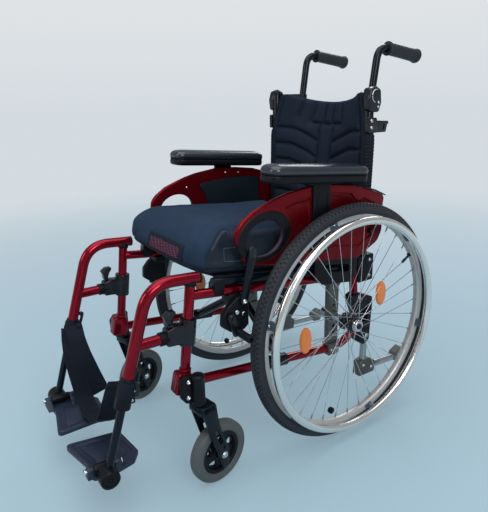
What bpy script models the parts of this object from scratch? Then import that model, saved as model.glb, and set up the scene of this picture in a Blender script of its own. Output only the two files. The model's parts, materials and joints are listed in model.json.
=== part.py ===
"""An active folding wheelchair, modelled for Blender 4.5 in metres, +Z up, facing -Y.

The rear axle is the datum: y = 0 lies over it and z = 0 is the floor. The left side (+X) is modelled
and mirrored to the right. An empty at the end moves the datum so that the chair's box is centred on
the world's Z axis.
"""

from math import cos, hypot, pi, radians, sin, sqrt, tan

import bmesh
import bpy
from mathutils import Matrix, Vector

# Driving dimensions

CLEARANCE = 0.0004  # between two pieces that touch
RUNNING_CLEARANCE = 0.0008  # on the radius of a shaft that turns or slides

WHEEL_RADIUS = 0.305
TYRE_THICKNESS = 0.0356
WHEEL_PLANE_X = 0.242  # tyre's middle plane, at the height of the hub
CAMBER = radians(1.2)
TYRE_WRAP = radians(116)  # how far round its section the tyre runs before it meets the rim
RIM_DEPTH = 0.017
RIM_WIDTH = 0.022
HANDRIM_INSET = 0.0117  # the handrim's ring is this much smaller than the rim
HANDRIM_TUBE = 0.019
HANDRIM_OFFSET = 0.038
HANDRIM_TABS = 6
SPOKES = 36
SPOKE_RADIUS = 0.0011
HUB_INNER_END = -0.020  # along the axle from the tyre's middle plane
HUB_OUTER_END = 0.0225
HUB_FLANGE_RADIUS = 0.0225
HUB_BARREL_RADIUS = 0.013
AXLE_RADIUS = 0.006
AXLE_SLEEVE_RADIUS = 0.0125
AXLE_SLEEVE_LENGTH = 0.075
AXLE_CAP_RADIUS = 0.0155
AXLE_CAP_LENGTH = 0.011
BUTTON_RADIUS = 0.0062
BUTTON_STANDOUT = 0.004
BUTTON_TRAVEL = 0.003
WHEEL_FACETS = 32
CASTER_FACETS = 14

FRAME_X = 0.180  # middle of a side frame's tubes
FRAME_TUBE_RADIUS = 0.011
FRAME_TILT = radians(7.2)  # the rails fall this much towards the rear
FRAME_Y = -0.190  # the cross brace's place on the lower rail
FRAME_Z = 0.2325
FRONT_P = -0.2535  # front upright, along the rails from the cross brace
RAIL_SPACING = 0.1994
UPPER_RAIL_END = 0.2374
FRONT_TUBE_TOP = 0.2205
FRONT_TUBE_BOTTOM = -0.012
REAR_UPRIGHT_TOP = (0.070, 0.430)
REAR_UPRIGHT_FOOT = (0.0805, 0.322)
LOWER_RAIL_TURN = 0.215
LOWER_RAIL_END = (0.104, 0.240)
LOWER_RAIL_BEND = 0.08
CAP_HEIGHT = 0.008
SHELL_HALF = 0.0142  # half the clamp shell across
BRACKET_HALF = 0.0148  # half a casting across, where it holds a frame tube

SEAT_TUBE_FRONT = -0.200
SEAT_TUBE_REAR = 0.2155
SEAT_TUBE_GAP = 0.0006
BRACE_RADIUS = 0.0115
BRACE_OFFSET = 0.0135
BRACE_ROUND_SHARE = 0.935  # past this the arm narrows to a tongue that clears the upper rail
BRACE_TONGUE_RADIUS = 0.0068
BRACE_SLEEVE_RADIUS = 0.0155
BRACE_SLEEVE_LENGTH = 0.064
PIVOT_BOLT_RADIUS = 0.005

TIPPING_RADIUS = 0.0095
TIPPING_BEND = (0.128, 0.170)
TIPPING_TOP = (0.121, 0.226)
TIPPING_FOOT = (0.122, 0.088)

AXLE_PLATE_FRONT = -0.020
AXLE_PLATE_REAR = 0.015
AXLE_PLATE_LOW = 0.194
AXLE_PLATE_HIGH = 0.412
AXLE_PLATE_HALF = 0.0075
AXLE_HOLE_RADIUS = 0.0045
AXLE_HOLE_PITCH = 0.0195
AXLE_HOLE_Y = -0.0020
AXLE_HOLE_STEPS = (-2.5, -1.5, 1.5, 2.5)  # in pitches from the axle in use

CASTER_RADIUS = 0.075
CASTER_WIDTH = 0.030
CASTER_HUB_RADIUS = 0.052
CASTER_STEM_X = 0.210
CASTER_STEM_Y = -0.424
CASTER_TRAIL = 0.047
CASTER_STEM_RADIUS = 0.006
CASTER_AXLE_RADIUS = 0.004
CASTER_YAW_LEFT = 0.15  # as the casters stand in the photograph
CASTER_YAW_RIGHT = 0.30
HOUSING_RADIUS = 0.015
HOUSING_BOTTOM = 0.222
HOUSING_TOP = 0.290
FORK_TOP = 0.2205
FORK_LEG_GAP = 0.019
FORK_LEG_THICKNESS = 0.005

HANGER_RADIUS = 0.0125
HANGER_LEG_Y = -0.5745  # a point on the leg's line, and the line's slope
HANGER_LEG_Z = 0.291
HANGER_LEG_SLOPE = 0.3153
HANGER_TOP_Z = 0.5065
HANGER_REAR = (-0.392, 0.4975)
HANGER_BEND = 0.094
HANGER_FOOT_Z = 0.262
HANGER_PIN_RADIUS = 0.006
HANGER_PIN_DEPTH = 0.030
LEG_SLEEVE_RADIUS = 0.0165
LEG_SLEEVE_TOP_Z = 0.322
CROSS_TUBE_RADIUS = 0.0095
CROSS_TUBE_Z = 0.384
CLAMP_LOW_Q = 0.092
CLAMP_HIGH_Q = 0.150
CLAMP_RADIUS = 0.0185
CLAMP_FRONT_Y = -0.486
LATCH_PIVOT = (-0.470, 0.4115)
LATCH_HALF = 0.009

FOOT_TUBE_RADIUS = 0.0085
FOOT_TUBE_INSERT = 0.085
FOOT_TUBE_BORE = 0.108
FOOT_DISC_Z = 0.118
FOOT_DISC_RADIUS = 0.021
FOOT_DISC_INNER_X = 0.171
FOOT_DISC_OUTER_X = 0.203
PLATE_PIN_X = 0.158
PLATE_PIN_Z = 0.126
PLATE_PIN_RADIUS = 0.004
PLATE_PIN_LENGTH = 0.076
PLATE_TOP_Z = 0.1135
PLATE_THICKNESS = 0.012
PLATE_TOE_UP = radians(4.0)
TREAD_DEPTH = 0.0022
KNUCKLE_HALF = 0.022
LUG_WIDTH = 0.014

GUARD_INNER_X = 0.1990
GUARD_THICKNESS = 0.0105
GUARD_OPENING = (-0.242, 0.563)
GUARD_OPENING_SIZE = (0.048, 0.037)
GUARD_RING_SIZE = (0.070, 0.052)
GUARD_OPENING_TURN = radians(10)
ARM_POST_FRONT = -0.104
ARM_POST_REAR = -0.049
ARM_POST_FOOT = 0.500
ARM_POST_THICKNESS = 0.0086
ARM_PAD_X = 0.210
ARM_PAD_LENGTH = 0.313
ARM_PAD_WIDTH = 0.065
ARM_PAD_HEIGHT = 0.045
ARM_PAD_Y = -0.0815
ARM_PAD_OVER_TYRE = 0.079  # middle of the pad above the top of the rear tyre
ARM_PAD_SLOPE = radians(5.2)

POST_Y = 0.104
POST_RADIUS = 0.0125
POST_BOTTOM = 0.378
POST_TOP = 0.862
HANDLE_X = 0.133
HANDLE_RADIUS = 0.0095
HANDLE_LEAN = 0.1538  # rearward per metre of height
HANDLE_DATUM = (0.163, 0.847)
HANDLE_BOTTOM_Z = 0.690
HANDLE_CORNER_Z = 0.970
HANDLE_BEND = 0.035
GRIP_START = (0.214, 0.9660)
GRIP_END = (0.335, 0.9508)
GRIP_RADIUS = 0.0155

BRAKE_X = 0.1945
BRAKE_THICKNESS = 0.016
BRAKE_PIN_RADIUS = 0.0035
BRAKE_PIVOT = (-0.302, 0.431)
BRAKE_TIP = (-0.275, 0.539)
SHOE_PIVOT = (-0.337, 0.402)
SHOE_BAR = (-0.3185, 0.362)
SHOE_BAR_RADIUS = 0.009
SHOE_BAR_END_X = 0.262
LEVER_THICKNESS = 0.005
LEVER_GAP = 0.0015

CUSHION_WIDTH = 0.388
CUSHION_FRONT_P = -0.2440
CUSHION_REAR_P = 0.2200
CUSHION_FRONT_HEIGHT = 0.092
CUSHION_REAR_HEIGHT = 0.112
SLING_THICKNESS = 0.003
SLING_WIDTH = 0.372
SLING_SAG = 0.012
BACK_BOTTOM = 0.500
BACK_TOP = 0.853
BACK_TOP_DIP = 0.018
BACK_THICKNESS = 0.012
BACK_PANEL_COLUMNS = 11
BACK_PANEL_HALF = 0.158
BACK_WRAP_ANGLES = (-50, -15, 20, 55, 88)  # round a post, from straight ahead towards the outside
STRAP_WIDTH = 0.046
STRAP_THICKNESS = 0.003

RIM_RADIUS = WHEEL_RADIUS - TYRE_THICKNESS / 2 * (1 - cos(TYRE_WRAP)) - CLEARANCE
RIM_INNER_RADIUS = RIM_RADIUS - RIM_DEPTH
HANDRIM_RADIUS = RIM_RADIUS - HANDRIM_INSET
ARM_PAD_Z = 2 * WHEEL_RADIUS + ARM_PAD_OVER_TYRE
SEAT_TUBE_Q = RAIL_SPACING + 2 * FRAME_TUBE_RADIUS + SEAT_TUBE_GAP
CHAIR_PARTS = []


# Places

def side_point(p, q, x=FRAME_X):
    """A point of the tilted side frame: p back along the rails, q up across them."""
    y = FRAME_Y + p * cos(FRAME_TILT) + q * sin(FRAME_TILT)
    z = FRAME_Z - p * sin(FRAME_TILT) + q * cos(FRAME_TILT)
    return Vector((x, y, z))


def leg_point(z, x=FRAME_X):
    """A point on the straight line that the hanger's leg and the foot tube share."""
    return Vector((x, HANGER_LEG_Y + (z - HANGER_LEG_Z) * HANGER_LEG_SLOPE, z))


def handle_point(z, x=HANDLE_X):
    """A point on the push handle's straight tube."""
    return Vector((x, HANDLE_DATUM[0] + (z - HANDLE_DATUM[1]) * HANDLE_LEAN, z))


def in_plane(y, z, x=FRAME_X):
    return Vector((x, y, z))


# Shapes

def part_from(bm, name="piece"):
    """An object that holds the bmesh, with every face turned outwards."""
    bmesh.ops.remove_doubles(bm, verts=bm.verts, dist=1e-6)
    bmesh.ops.recalc_face_normals(bm, faces=bm.faces)
    mesh = bpy.data.meshes.new(name)
    bm.to_mesh(mesh)
    bm.free()
    piece = bpy.data.objects.new(name, mesh)
    bpy.context.scene.collection.objects.link(piece)
    return piece


def settle(piece):
    """Replaces the object's mesh by what its modifiers make of it."""
    graph = bpy.context.evaluated_depsgraph_get()
    mesh = bpy.data.meshes.new_from_object(piece.evaluated_get(graph))
    piece.modifiers.clear()
    piece.data = mesh
    return piece


def combined(piece, others, operation):
    for other in others:
        step = piece.modifiers.new(operation.lower(), "BOOLEAN")
        step.operation = operation
        step.object = other
    settle(piece)
    for other in others:
        bpy.data.objects.remove(other)
    return piece


def fused(piece, *others):
    return combined(piece, others, "UNION")


def cut(piece, *others):
    return combined(piece, others, "DIFFERENCE")


def turned_about(piece, matrix):
    piece.data.transform(matrix)
    return piece


def arc_corners(corners, radius, steps, closed=False):
    """The corners of a path or an outline, each rounded to the radius."""
    points = []
    count = len(corners)
    for index, corner in enumerate(corners):
        corner = Vector(corner)
        if not closed and index in (0, count - 1):
            points.append(corner)
            continue
        back = Vector(corners[index - 1]) - corner
        ahead = Vector(corners[(index + 1) % count]) - corner
        half = back.angle(ahead) / 2
        reach = min(radius / tan(half), 0.48 * back.length, 0.48 * ahead.length)
        start = corner + back.normalized() * reach
        end = corner + ahead.normalized() * reach
        for step in range(steps + 1):
            share = step / steps
            toward = start.lerp(corner, share)
            away = corner.lerp(end, share)
            points.append(toward.lerp(away, share))
    return points


def rounded(corners, radius, steps=1):
    """A closed outline of flat points with its corners rounded."""
    return arc_corners([Vector(corner) for corner in corners], radius, steps, closed=True)


def tube(points, radius, sides=10, closed=False):
    """A round bar along the points, made as a bevelled curve."""
    curve = bpy.data.curves.new("tube", "CURVE")
    curve.dimensions = "3D"
    curve.bevel_depth = radius
    curve.bevel_resolution = (sides - 4) // 2
    curve.use_fill_caps = True
    line = curve.splines.new("POLY")
    line.points.add(len(points) - 1)
    for spot, point in zip(line.points, points):
        spot.co = (*point, 1)
    line.use_cyclic_u = closed
    guide = bpy.data.objects.new("tube", curve)
    bpy.context.scene.collection.objects.link(guide)
    graph = bpy.context.evaluated_depsgraph_get()
    mesh = bpy.data.meshes.new_from_object(guide.evaluated_get(graph))
    bpy.data.objects.remove(guide)
    bm = bmesh.new()
    bm.from_mesh(mesh)
    return part_from(bm)


def rod(start, end, radius, sides=10, end_radius=None):
    """A straight round bar or cone."""
    start = Vector(start)
    end = Vector(end)
    along = end - start
    bm = bmesh.new()
    facing = along.to_track_quat("Z", "Y").to_matrix().to_4x4()
    bmesh.ops.create_cone(
        bm, cap_ends=True, segments=sides, radius1=radius, radius2=end_radius or radius,
        depth=along.length, matrix=Matrix.Translation((start + end) / 2) @ facing,
    )
    return part_from(bm)


def turned(profile, steps, ring=False):
    """A profile of (radius, along) spun about the X axis, with a flat of it straight down.

    The radii hold at the middle of each flat. A ring's profile is closed, and any other one starts
    and ends on the axis.
    """
    spread = 1 / cos(pi / steps)
    bm = bmesh.new()
    start = Matrix.Rotation(pi / steps, 3, "X")
    line = [bm.verts.new(start @ Vector((along, 0, -radius * spread))) for radius, along in profile]
    edges = [bm.edges.new(pair) for pair in zip(line, line[1:])]
    if ring:
        edges.append(bm.edges.new((line[-1], line[0])))
    bmesh.ops.spin(
        bm, geom=line + edges, cent=(0, 0, 0), axis=(1, 0, 0), angle=2 * pi, steps=steps,
        use_merge=True, use_duplicate=False,
    )
    return part_from(bm)


def slab(outline, low_x, high_x, bevel=0):
    """An outline of (y, z) points, thick along X, its rims bevelled where that is asked."""
    bm = bmesh.new()
    face = bm.faces.new([bm.verts.new((low_x, y, z)) for y, z in outline])
    made = bmesh.ops.extrude_face_region(bm, geom=[face])
    raised = [item for item in made["geom"] if isinstance(item, bmesh.types.BMVert)]
    bmesh.ops.translate(bm, verts=raised, vec=(high_x - low_x, 0, 0))
    if bevel:
        rims = [edge for edge in bm.edges if abs(edge.verts[0].co.x - edge.verts[1].co.x) < 1e-7]
        bmesh.ops.bevel(
            bm, geom=rims, offset=bevel, affect="EDGES", segments=1, profile=0.5, material=-1,
        )
    return part_from(bm)


def plan_slab(outline, low_z, high_z, bevel=0):
    """The same for an outline of (x, y) points, thick along Z."""
    piece = slab([(x, y) for x, y in outline], low_z, high_z, bevel)
    cycle = Matrix(((0, 1, 0, 0), (0, 0, 1, 0), (1, 0, 0, 0), (0, 0, 0, 1)))
    return turned_about(piece, cycle)


def block(low, high, bevel=0):
    """A box between two corners, with all its edges bevelled where that is asked."""
    low = Vector(low)
    high = Vector(high)
    bm = bmesh.new()
    size = Matrix.Diagonal((*(high - low), 1))
    bmesh.ops.create_cube(bm, size=1, matrix=Matrix.Translation((low + high) / 2) @ size)
    if bevel:
        bmesh.ops.bevel(
            bm, geom=bm.edges[:], offset=bevel, affect="EDGES", segments=1, profile=0.5, material=-1,
        )
    return part_from(bm)


def oval(centre, sizes, turn, steps=16):
    """Points (y, z) round an ellipse."""
    points = []
    for step in range(steps):
        angle = 2 * pi * step / steps
        along = sizes[0] * cos(angle)
        across = sizes[1] * sin(angle)
        points.append((
            centre[0] + along * cos(turn) - across * sin(turn),
            centre[1] + along * sin(turn) + across * cos(turn),
        ))
    return points


# Finishes

def finish(name, color, roughness, metallic=0.0):
    material = bpy.data.materials.new(name)
    material.use_nodes = True
    shader = material.node_tree.nodes["Principled BSDF"]
    shader.inputs["Base Color"].default_value = (*color, 1)
    shader.inputs["Roughness"].default_value = roughness
    shader.inputs["Metallic"].default_value = metallic
    material.diffuse_color = (*color, 1)
    return material


def make_finishes():
    return {
        "red": finish("candy_red_paint", (0.30, 0.015, 0.035), 0.28, 0.6),
        "black": finish("black_plastic", (0.022, 0.022, 0.026), 0.45),
        "black_metal": finish("black_powder_coat", (0.018, 0.018, 0.022), 0.4, 0.3),
        "steel": finish("bright_steel", (0.72, 0.72, 0.74), 0.18, 1.0),
        "alloy": finish("satin_aluminium", (0.55, 0.56, 0.58), 0.35, 1.0),
        "tyre": finish("black_tyre", (0.030, 0.031, 0.036), 0.75),
        "grey_tyre": finish("grey_caster_tyre", (0.20, 0.215, 0.22), 0.6),
        "rubber": finish("grip_rubber", (0.035, 0.036, 0.040), 0.7),
        "fabric": finish("black_fabric", (0.022, 0.024, 0.034), 0.9),
        "pad": finish("soft_pad", (0.045, 0.052, 0.065), 0.55),
    }


# Assembly

def keep(piece, name, material, origin=(0, 0, 0), parent=None):
    """Names a finished piece, sets its origin and finish, and adds it to the chair."""
    origin = Vector(origin)
    piece.data.transform(Matrix.Translation(-origin))
    piece.location = origin
    piece.name = name
    piece.data.name = name
    piece.data.materials.clear()
    piece.data.materials.append(material)
    piece.data.shade_smooth()
    piece.data.set_sharp_from_angle(angle=radians(40))
    piece.parent = parent
    CHAIR_PARTS.append(piece)
    return piece


def mirrored(piece):
    twin = piece.copy()
    twin.data = piece.data.copy()
    twin.data.transform(Matrix.Diagonal((-1, 1, 1, 1)))
    twin.data.flip_normals()
    bpy.context.scene.collection.objects.link(twin)
    return twin


def keep_pair(piece, name, material, origin=(0, 0, 0), parents=(None, None)):
    """Keeps the piece on the left and its mirror image on the right."""
    twin = mirrored(piece)
    keep(piece, name + "_left", material, origin, parents[0])
    keep(twin, name + "_right", material, (-origin[0], origin[1], origin[2]), parents[1])


def empty(name, location, rotation=(0, 0, 0)):
    holder = bpy.data.objects.new(name, None)
    holder.empty_display_size = 0.05
    holder.location = location
    holder.rotation_euler = rotation
    bpy.context.scene.collection.objects.link(holder)
    return holder


# Rear wheel, in its own frame: X runs outwards along the axle, and 0 is the tyre's middle plane

def tyre_profile():
    """Half-round tread above a bead that sits between the rim's walls."""
    section = TYRE_THICKNESS / 2
    middle = WHEEL_RADIUS - section
    turns = (TYRE_WRAP * 0.155, TYRE_WRAP * 0.57, TYRE_WRAP)
    right = [(middle + section * cos(turn), section * sin(turn)) for turn in turns]
    bead_top = (RIM_RADIUS + CLEARANCE, RIM_WIDTH / 2 - 0.002)
    bead_foot = (RIM_RADIUS - 0.0054, RIM_WIDTH / 2 - 0.0024)
    right += [bead_top, bead_foot]
    left = [(radius, -along) for radius, along in reversed(right)]
    return left + right


def hub_height():
    """The axle's height at the tyre's middle plane, with the cambered tyre just on the floor."""
    return max(radius * cos(CAMBER) + along * sin(CAMBER) for radius, along in tyre_profile())


HUB_Z = hub_height()


def make_tyre():
    return turned(tyre_profile(), WHEEL_FACETS, ring=True)


def make_rim():
    wall = RIM_WIDTH / 2
    right = [
        (RIM_INNER_RADIUS, wall * 0.7),
        (RIM_RADIUS, wall),
        (RIM_RADIUS - 0.0059, wall - 0.0018),
    ]
    left = [(radius, -along) for radius, along in reversed(right)]
    return turned(left + right, WHEEL_FACETS, ring=True)


def spoke(flange_x, hub_angle, rim_angle, lean):
    """One spoke: a thin three-sided bar from a hub flange to just under the rim."""
    foot = HUB_FLANGE_RADIUS - 0.003
    head = RIM_INNER_RADIUS - CLEARANCE - SPOKE_RADIUS
    start = Vector((flange_x + lean, foot * sin(hub_angle), foot * cos(hub_angle)))
    end = Vector((0.0, head * sin(rim_angle), head * cos(rim_angle)))
    return rod(start, end, SPOKE_RADIUS, 3)


def joined(pieces):
    """Several separate bodies as one object, to be fused to another in one step."""
    bm = bmesh.new()
    for piece in pieces:
        bm.from_mesh(piece.data)
        bpy.data.objects.remove(piece)
    return part_from(bm)


def make_hub():
    inner = HUB_INNER_END
    outer = HUB_OUTER_END
    bore = AXLE_RADIUS + RUNNING_CLEARANCE
    profile = [
        (bore, inner), (0.0165, inner), (HUB_FLANGE_RADIUS, inner + 0.004),
        (HUB_FLANGE_RADIUS, inner + 0.007), (HUB_BARREL_RADIUS, inner + 0.010),
        (HUB_BARREL_RADIUS, outer - 0.014), (HUB_FLANGE_RADIUS, outer - 0.011),
        (HUB_FLANGE_RADIUS, outer - 0.007), (0.0185, outer), (bore, outer),
    ]
    hub = turned(profile, 10, ring=True)
    spokes = []
    pitch = 2 * pi / SPOKES
    for index in range(SPOKES):
        near = index % 2
        flange_x = outer - 0.009 if near else inner + 0.0055
        turn = 1 if index % 4 < 2 else -1
        rim_angle = index * pitch
        spokes.append(spoke(flange_x, rim_angle + turn * radians(62), rim_angle, turn * 0.0014))
    return fused(hub, joined(spokes))


def make_handrim():
    steps = WHEEL_FACETS
    points = []
    for step in range(steps):
        angle = 2 * pi * (step + 0.5) / steps
        points.append((HANDRIM_OFFSET, HANDRIM_RADIUS * sin(angle), HANDRIM_RADIUS * cos(angle)))
    ring = tube(points, HANDRIM_TUBE / 2, 8, closed=True)
    tabs = []
    for index in range(HANDRIM_TABS):
        radius = HANDRIM_RADIUS + 0.0015
        low = (RIM_WIDTH / 2 + CLEARANCE, -0.010, radius - 0.0015)
        high = (HANDRIM_OFFSET - 0.004, 0.010, radius + 0.0015)
        angle = 2 * pi * (index + 0.25) / HANDRIM_TABS
        tabs.append(turned_about(block(low, high), Matrix.Rotation(angle, 4, "X")))
    return fused(ring, joined(tabs))


def make_button():
    cap_end = HUB_OUTER_END + CLEARANCE + AXLE_CAP_LENGTH
    foot = cap_end - BUTTON_STANDOUT
    top = cap_end + BUTTON_STANDOUT
    profile = [(0, foot), (BUTTON_RADIUS, foot), (BUTTON_RADIUS, top - 0.0012), (0.005, top), (0, top)]
    return turned(profile, 12)


# Side frame

def upper_rail(radius, sides=10):
    return rod(side_point(FRONT_P, RAIL_SPACING), side_point(UPPER_RAIL_END, RAIL_SPACING), radius, sides)


def longer(start, end, extra):
    """The end of a tube, moved on by the extra length that a socket needs."""
    start = Vector(start)
    end = Vector(end)
    return end + (end - start).normalized() * extra


def lower_rail(radius, sides=10, extra=0.0):
    turn = side_point(LOWER_RAIL_TURN, 0)
    end = longer(turn, in_plane(*LOWER_RAIL_END), extra)
    return tube(arc_corners([side_point(FRONT_P, 0), turn, end], LOWER_RAIL_BEND, 3), radius, sides)


def rear_upright(radius, sides=10, extra=0.0):
    top = in_plane(*REAR_UPRIGHT_TOP)
    return rod(longer(top, in_plane(*REAR_UPRIGHT_FOOT), extra), top, radius, sides)


def front_upright(radius, sides=10):
    return rod(side_point(FRONT_P, FRONT_TUBE_BOTTOM), side_point(FRONT_P, FRONT_TUBE_TOP), radius, sides)


def seat_tube(radius, sides=10, extra=0.0):
    start = side_point(SEAT_TUBE_FRONT - extra, SEAT_TUBE_Q)
    return rod(start, side_point(SEAT_TUBE_REAR + extra, SEAT_TUBE_Q), radius, sides)


def saddle(p):
    """An open-topped block on the upper rail, in which the seat tube rests."""
    half_length = 0.013
    low_q = RAIL_SPACING - 0.004
    high_q = SEAT_TUBE_Q - 0.001
    corners = [
        side_point(p - half_length, low_q), side_point(p + half_length, low_q),
        side_point(p + half_length, high_q), side_point(p - half_length, high_q),
    ]
    return slab([(corner.y, corner.z) for corner in corners], FRAME_X - 0.0145, FRAME_X + 0.0122)


def clamp_shell():
    """The red shell round the foot of the front upright, which the caster housing bolts to."""
    corners = []
    for p, q in ((-0.027, -0.020), (0.013, -0.022), (0.016, 0.010), (0.010, 0.028), (-0.022, 0.030)):
        corners.append(side_point(FRONT_P + p, q)[1:])
    outline = rounded(corners, 0.006)
    return slab(outline, FRAME_X - SHELL_HALF, FRAME_X + SHELL_HALF)


def make_side_frame():
    top = Vector(in_plane(*REAR_UPRIGHT_TOP))
    along = (top - in_plane(*REAR_UPRIGHT_FOOT)).normalized()
    cap = rod(top - along * 0.006, top + along * CAP_HEIGHT, FRAME_TUBE_RADIUS + 0.0015)
    frame = fused(
        front_upright(FRAME_TUBE_RADIUS), lower_rail(FRAME_TUBE_RADIUS), upper_rail(FRAME_TUBE_RADIUS),
        rear_upright(FRAME_TUBE_RADIUS), clamp_shell(), saddle(-0.187), saddle(0.200), cap,
    )
    pin_bore = rod(
        side_point(FRONT_P, FRONT_TUBE_TOP - HANGER_PIN_DEPTH - 0.004),
        side_point(FRONT_P, FRONT_TUBE_TOP + 0.010), HANGER_PIN_RADIUS + RUNNING_CLEARANCE, 10,
    )
    seat = seat_tube(FRAME_TUBE_RADIUS + CLEARANCE, extra=0.02)
    return cut(frame, pin_bore, seat)


def make_rear_bracket():
    corners = [
        (0.055, 0.341), (0.081, 0.350), (0.139, 0.325), (0.141, 0.303), (0.134, 0.196),
        (0.113, 0.186), (0.094, 0.198), (0.079, 0.283),
    ]
    face = FRAME_X + 0.0145
    bracket = slab(rounded(corners, 0.008), FRAME_X - 0.0145, face)
    heads = [
        rod((face - 0.001, y, z), (face + 0.004, y, z), 0.0065, 6)
        for y, z in ((0.085, 0.336), (0.120, 0.212))
    ]
    fused(bracket, *heads)
    window = slab([(0.104, 0.262), (0.122, 0.262), (0.124, 0.300), (0.102, 0.300)], 0.150, 0.210)
    fit = FRAME_TUBE_RADIUS + CLEARANCE * 1.5
    socket = 2 * CLEARANCE
    return cut(
        bracket, rear_upright(fit, extra=socket), lower_rail(fit, extra=socket),
        tipping_tube(TIPPING_RADIUS + CLEARANCE * 1.5, socket), window,
    )


def tipping_tube(radius, extra=0.0):
    bend = in_plane(*TIPPING_BEND)
    top = longer(bend, in_plane(*TIPPING_TOP), extra)
    return tube(arc_corners([top, bend, in_plane(*TIPPING_FOOT)], 0.12, 3), radius, 8)


def make_tipping_lever():
    half = 0.013
    clamp_corners = ((0.100, 0.086), (0.166, 0.084), (0.168, 0.118), (0.138, 0.136), (0.104, 0.132))
    clamp = slab(rounded(clamp_corners, 0.007), FRAME_X - half, FRAME_X + half)
    bar = rod(in_plane(0.150, 0.103), in_plane(0.272, 0.0925), 0.010, 10)
    pad_corners = ((0.256, 0.083), (0.290, 0.080), (0.300, 0.106), (0.288, 0.124), (0.256, 0.110))
    pad = slab(rounded(pad_corners, 0.010, 2), FRAME_X - half, FRAME_X + half)
    return fused(tipping_tube(TIPPING_RADIUS), clamp, bar, pad)


# Axle plate, with the quick-release axle in its sleeve

def axle_point(along):
    """A point on the cambered axle line, measured outwards from the tyre's middle plane."""
    return Vector((WHEEL_PLANE_X + along * cos(CAMBER), 0, HUB_Z + along * sin(CAMBER)))


def make_axle_plate():
    plate = block(
        (FRAME_X - AXLE_PLATE_HALF, AXLE_PLATE_FRONT, AXLE_PLATE_LOW + 0.006),
        (FRAME_X + AXLE_PLATE_HALF, AXLE_PLATE_REAR, AXLE_PLATE_HIGH),
    )
    front = AXLE_PLATE_FRONT - 0.0015
    rear = AXLE_PLATE_REAR + 0.0015
    low_clamp = block(
        (FRAME_X - BRACKET_HALF, front, AXLE_PLATE_LOW), (FRAME_X + BRACKET_HALF, rear, 0.228),
    )
    high_clamp = block(
        (FRAME_X - BRACKET_HALF, front, 0.386), (FRAME_X + 0.0120, rear, AXLE_PLATE_HIGH + 0.0015),
    )
    end = HUB_INNER_END - 0.0006
    sleeve = rod(axle_point(end - AXLE_SLEEVE_LENGTH), axle_point(end), AXLE_SLEEVE_RADIUS, 10)
    cap_start = HUB_OUTER_END + CLEARANCE
    pin = rod(axle_point(end - 0.004), axle_point(cap_start + 0.003), AXLE_RADIUS, 10)
    cap_end = cap_start + AXLE_CAP_LENGTH
    cap = rod(axle_point(cap_start), axle_point(cap_end), AXLE_CAP_RADIUS, 12, AXLE_CAP_RADIUS - 0.002)
    fused(plate, low_clamp, high_clamp, sleeve, pin, cap)
    holes = []
    for step in AXLE_HOLE_STEPS:
        z = HUB_Z + step * AXLE_HOLE_PITCH
        start = in_plane(AXLE_HOLE_Y, z, FRAME_X - 0.02)
        holes.append(rod(start, in_plane(AXLE_HOLE_Y, z, FRAME_X + 0.02), AXLE_HOLE_RADIUS, 6))
    fit = FRAME_TUBE_RADIUS + CLEARANCE * 1.5
    bore = rod(
        axle_point(cap_end - BUTTON_STANDOUT - BUTTON_TRAVEL - 0.0008),
        axle_point(cap_end + 0.01), BUTTON_RADIUS + RUNNING_CLEARANCE, 12,
    )
    return cut(plate, upper_rail(fit), lower_rail(fit), bore, *holes)


# Casters, the fork and wheel in their own frame: the stem's axis is x = y = 0 and the floor z = 0

def stem_point(z):
    return Vector((CASTER_STEM_X, CASTER_STEM_Y, z))


def make_caster_housing():
    barrel = rod(stem_point(HOUSING_BOTTOM), stem_point(HOUSING_TOP), HOUSING_RADIUS, 12)
    cap = rod(
        stem_point(HOUSING_TOP - 0.001), stem_point(HOUSING_TOP + 0.004),
        HOUSING_RADIUS - 0.001, 12, HOUSING_RADIUS - 0.005,
    )
    corners = [
        (-0.430, 0.290), (-0.452, 0.295), (-0.464, 0.280), (-0.463, 0.244), (-0.452, 0.229), (-0.430, 0.226),
    ]
    inner_x = FRAME_X + SHELL_HALF + CLEARANCE
    cheek = slab(rounded(corners, 0.006, 2), inner_x, inner_x + 0.012)
    heads = [
        rod((inner_x + 0.011, y, z), (inner_x + 0.0155, y, z), 0.0055, 6)
        for y, z in ((-0.445, 0.280), (-0.447, 0.243))
    ]
    fused(barrel, cap, cheek, *heads)
    bore = rod(
        stem_point(HOUSING_BOTTOM - 0.01), stem_point(HOUSING_TOP - 0.018),
        CASTER_STEM_RADIUS + RUNNING_CLEARANCE, 10,
    )
    return cut(barrel, bore)


def fork_leg(low_x, high_x):
    corners = [
        (-0.010, FORK_TOP), (0.028, FORK_TOP), (0.033, 0.179), (0.041, 0.141), (0.060, 0.090),
        (0.060, 0.050), (0.052, 0.036), (0.041, 0.040), (0.010, 0.140), (-0.006, 0.195),
    ]
    leg = slab(rounded(corners, 0.006), low_x, high_x)
    slot_corners = ((0.021, 0.150), (0.031, 0.146), (0.043, 0.112), (0.034, 0.110))
    slot = slab(slot_corners, low_x - 0.01, high_x + 0.01)
    hole = rod((low_x - 0.01, 0.046, 0.097), (high_x + 0.01, 0.046, 0.097), 0.0028, 6)
    return cut(leg, slot, hole)


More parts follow.
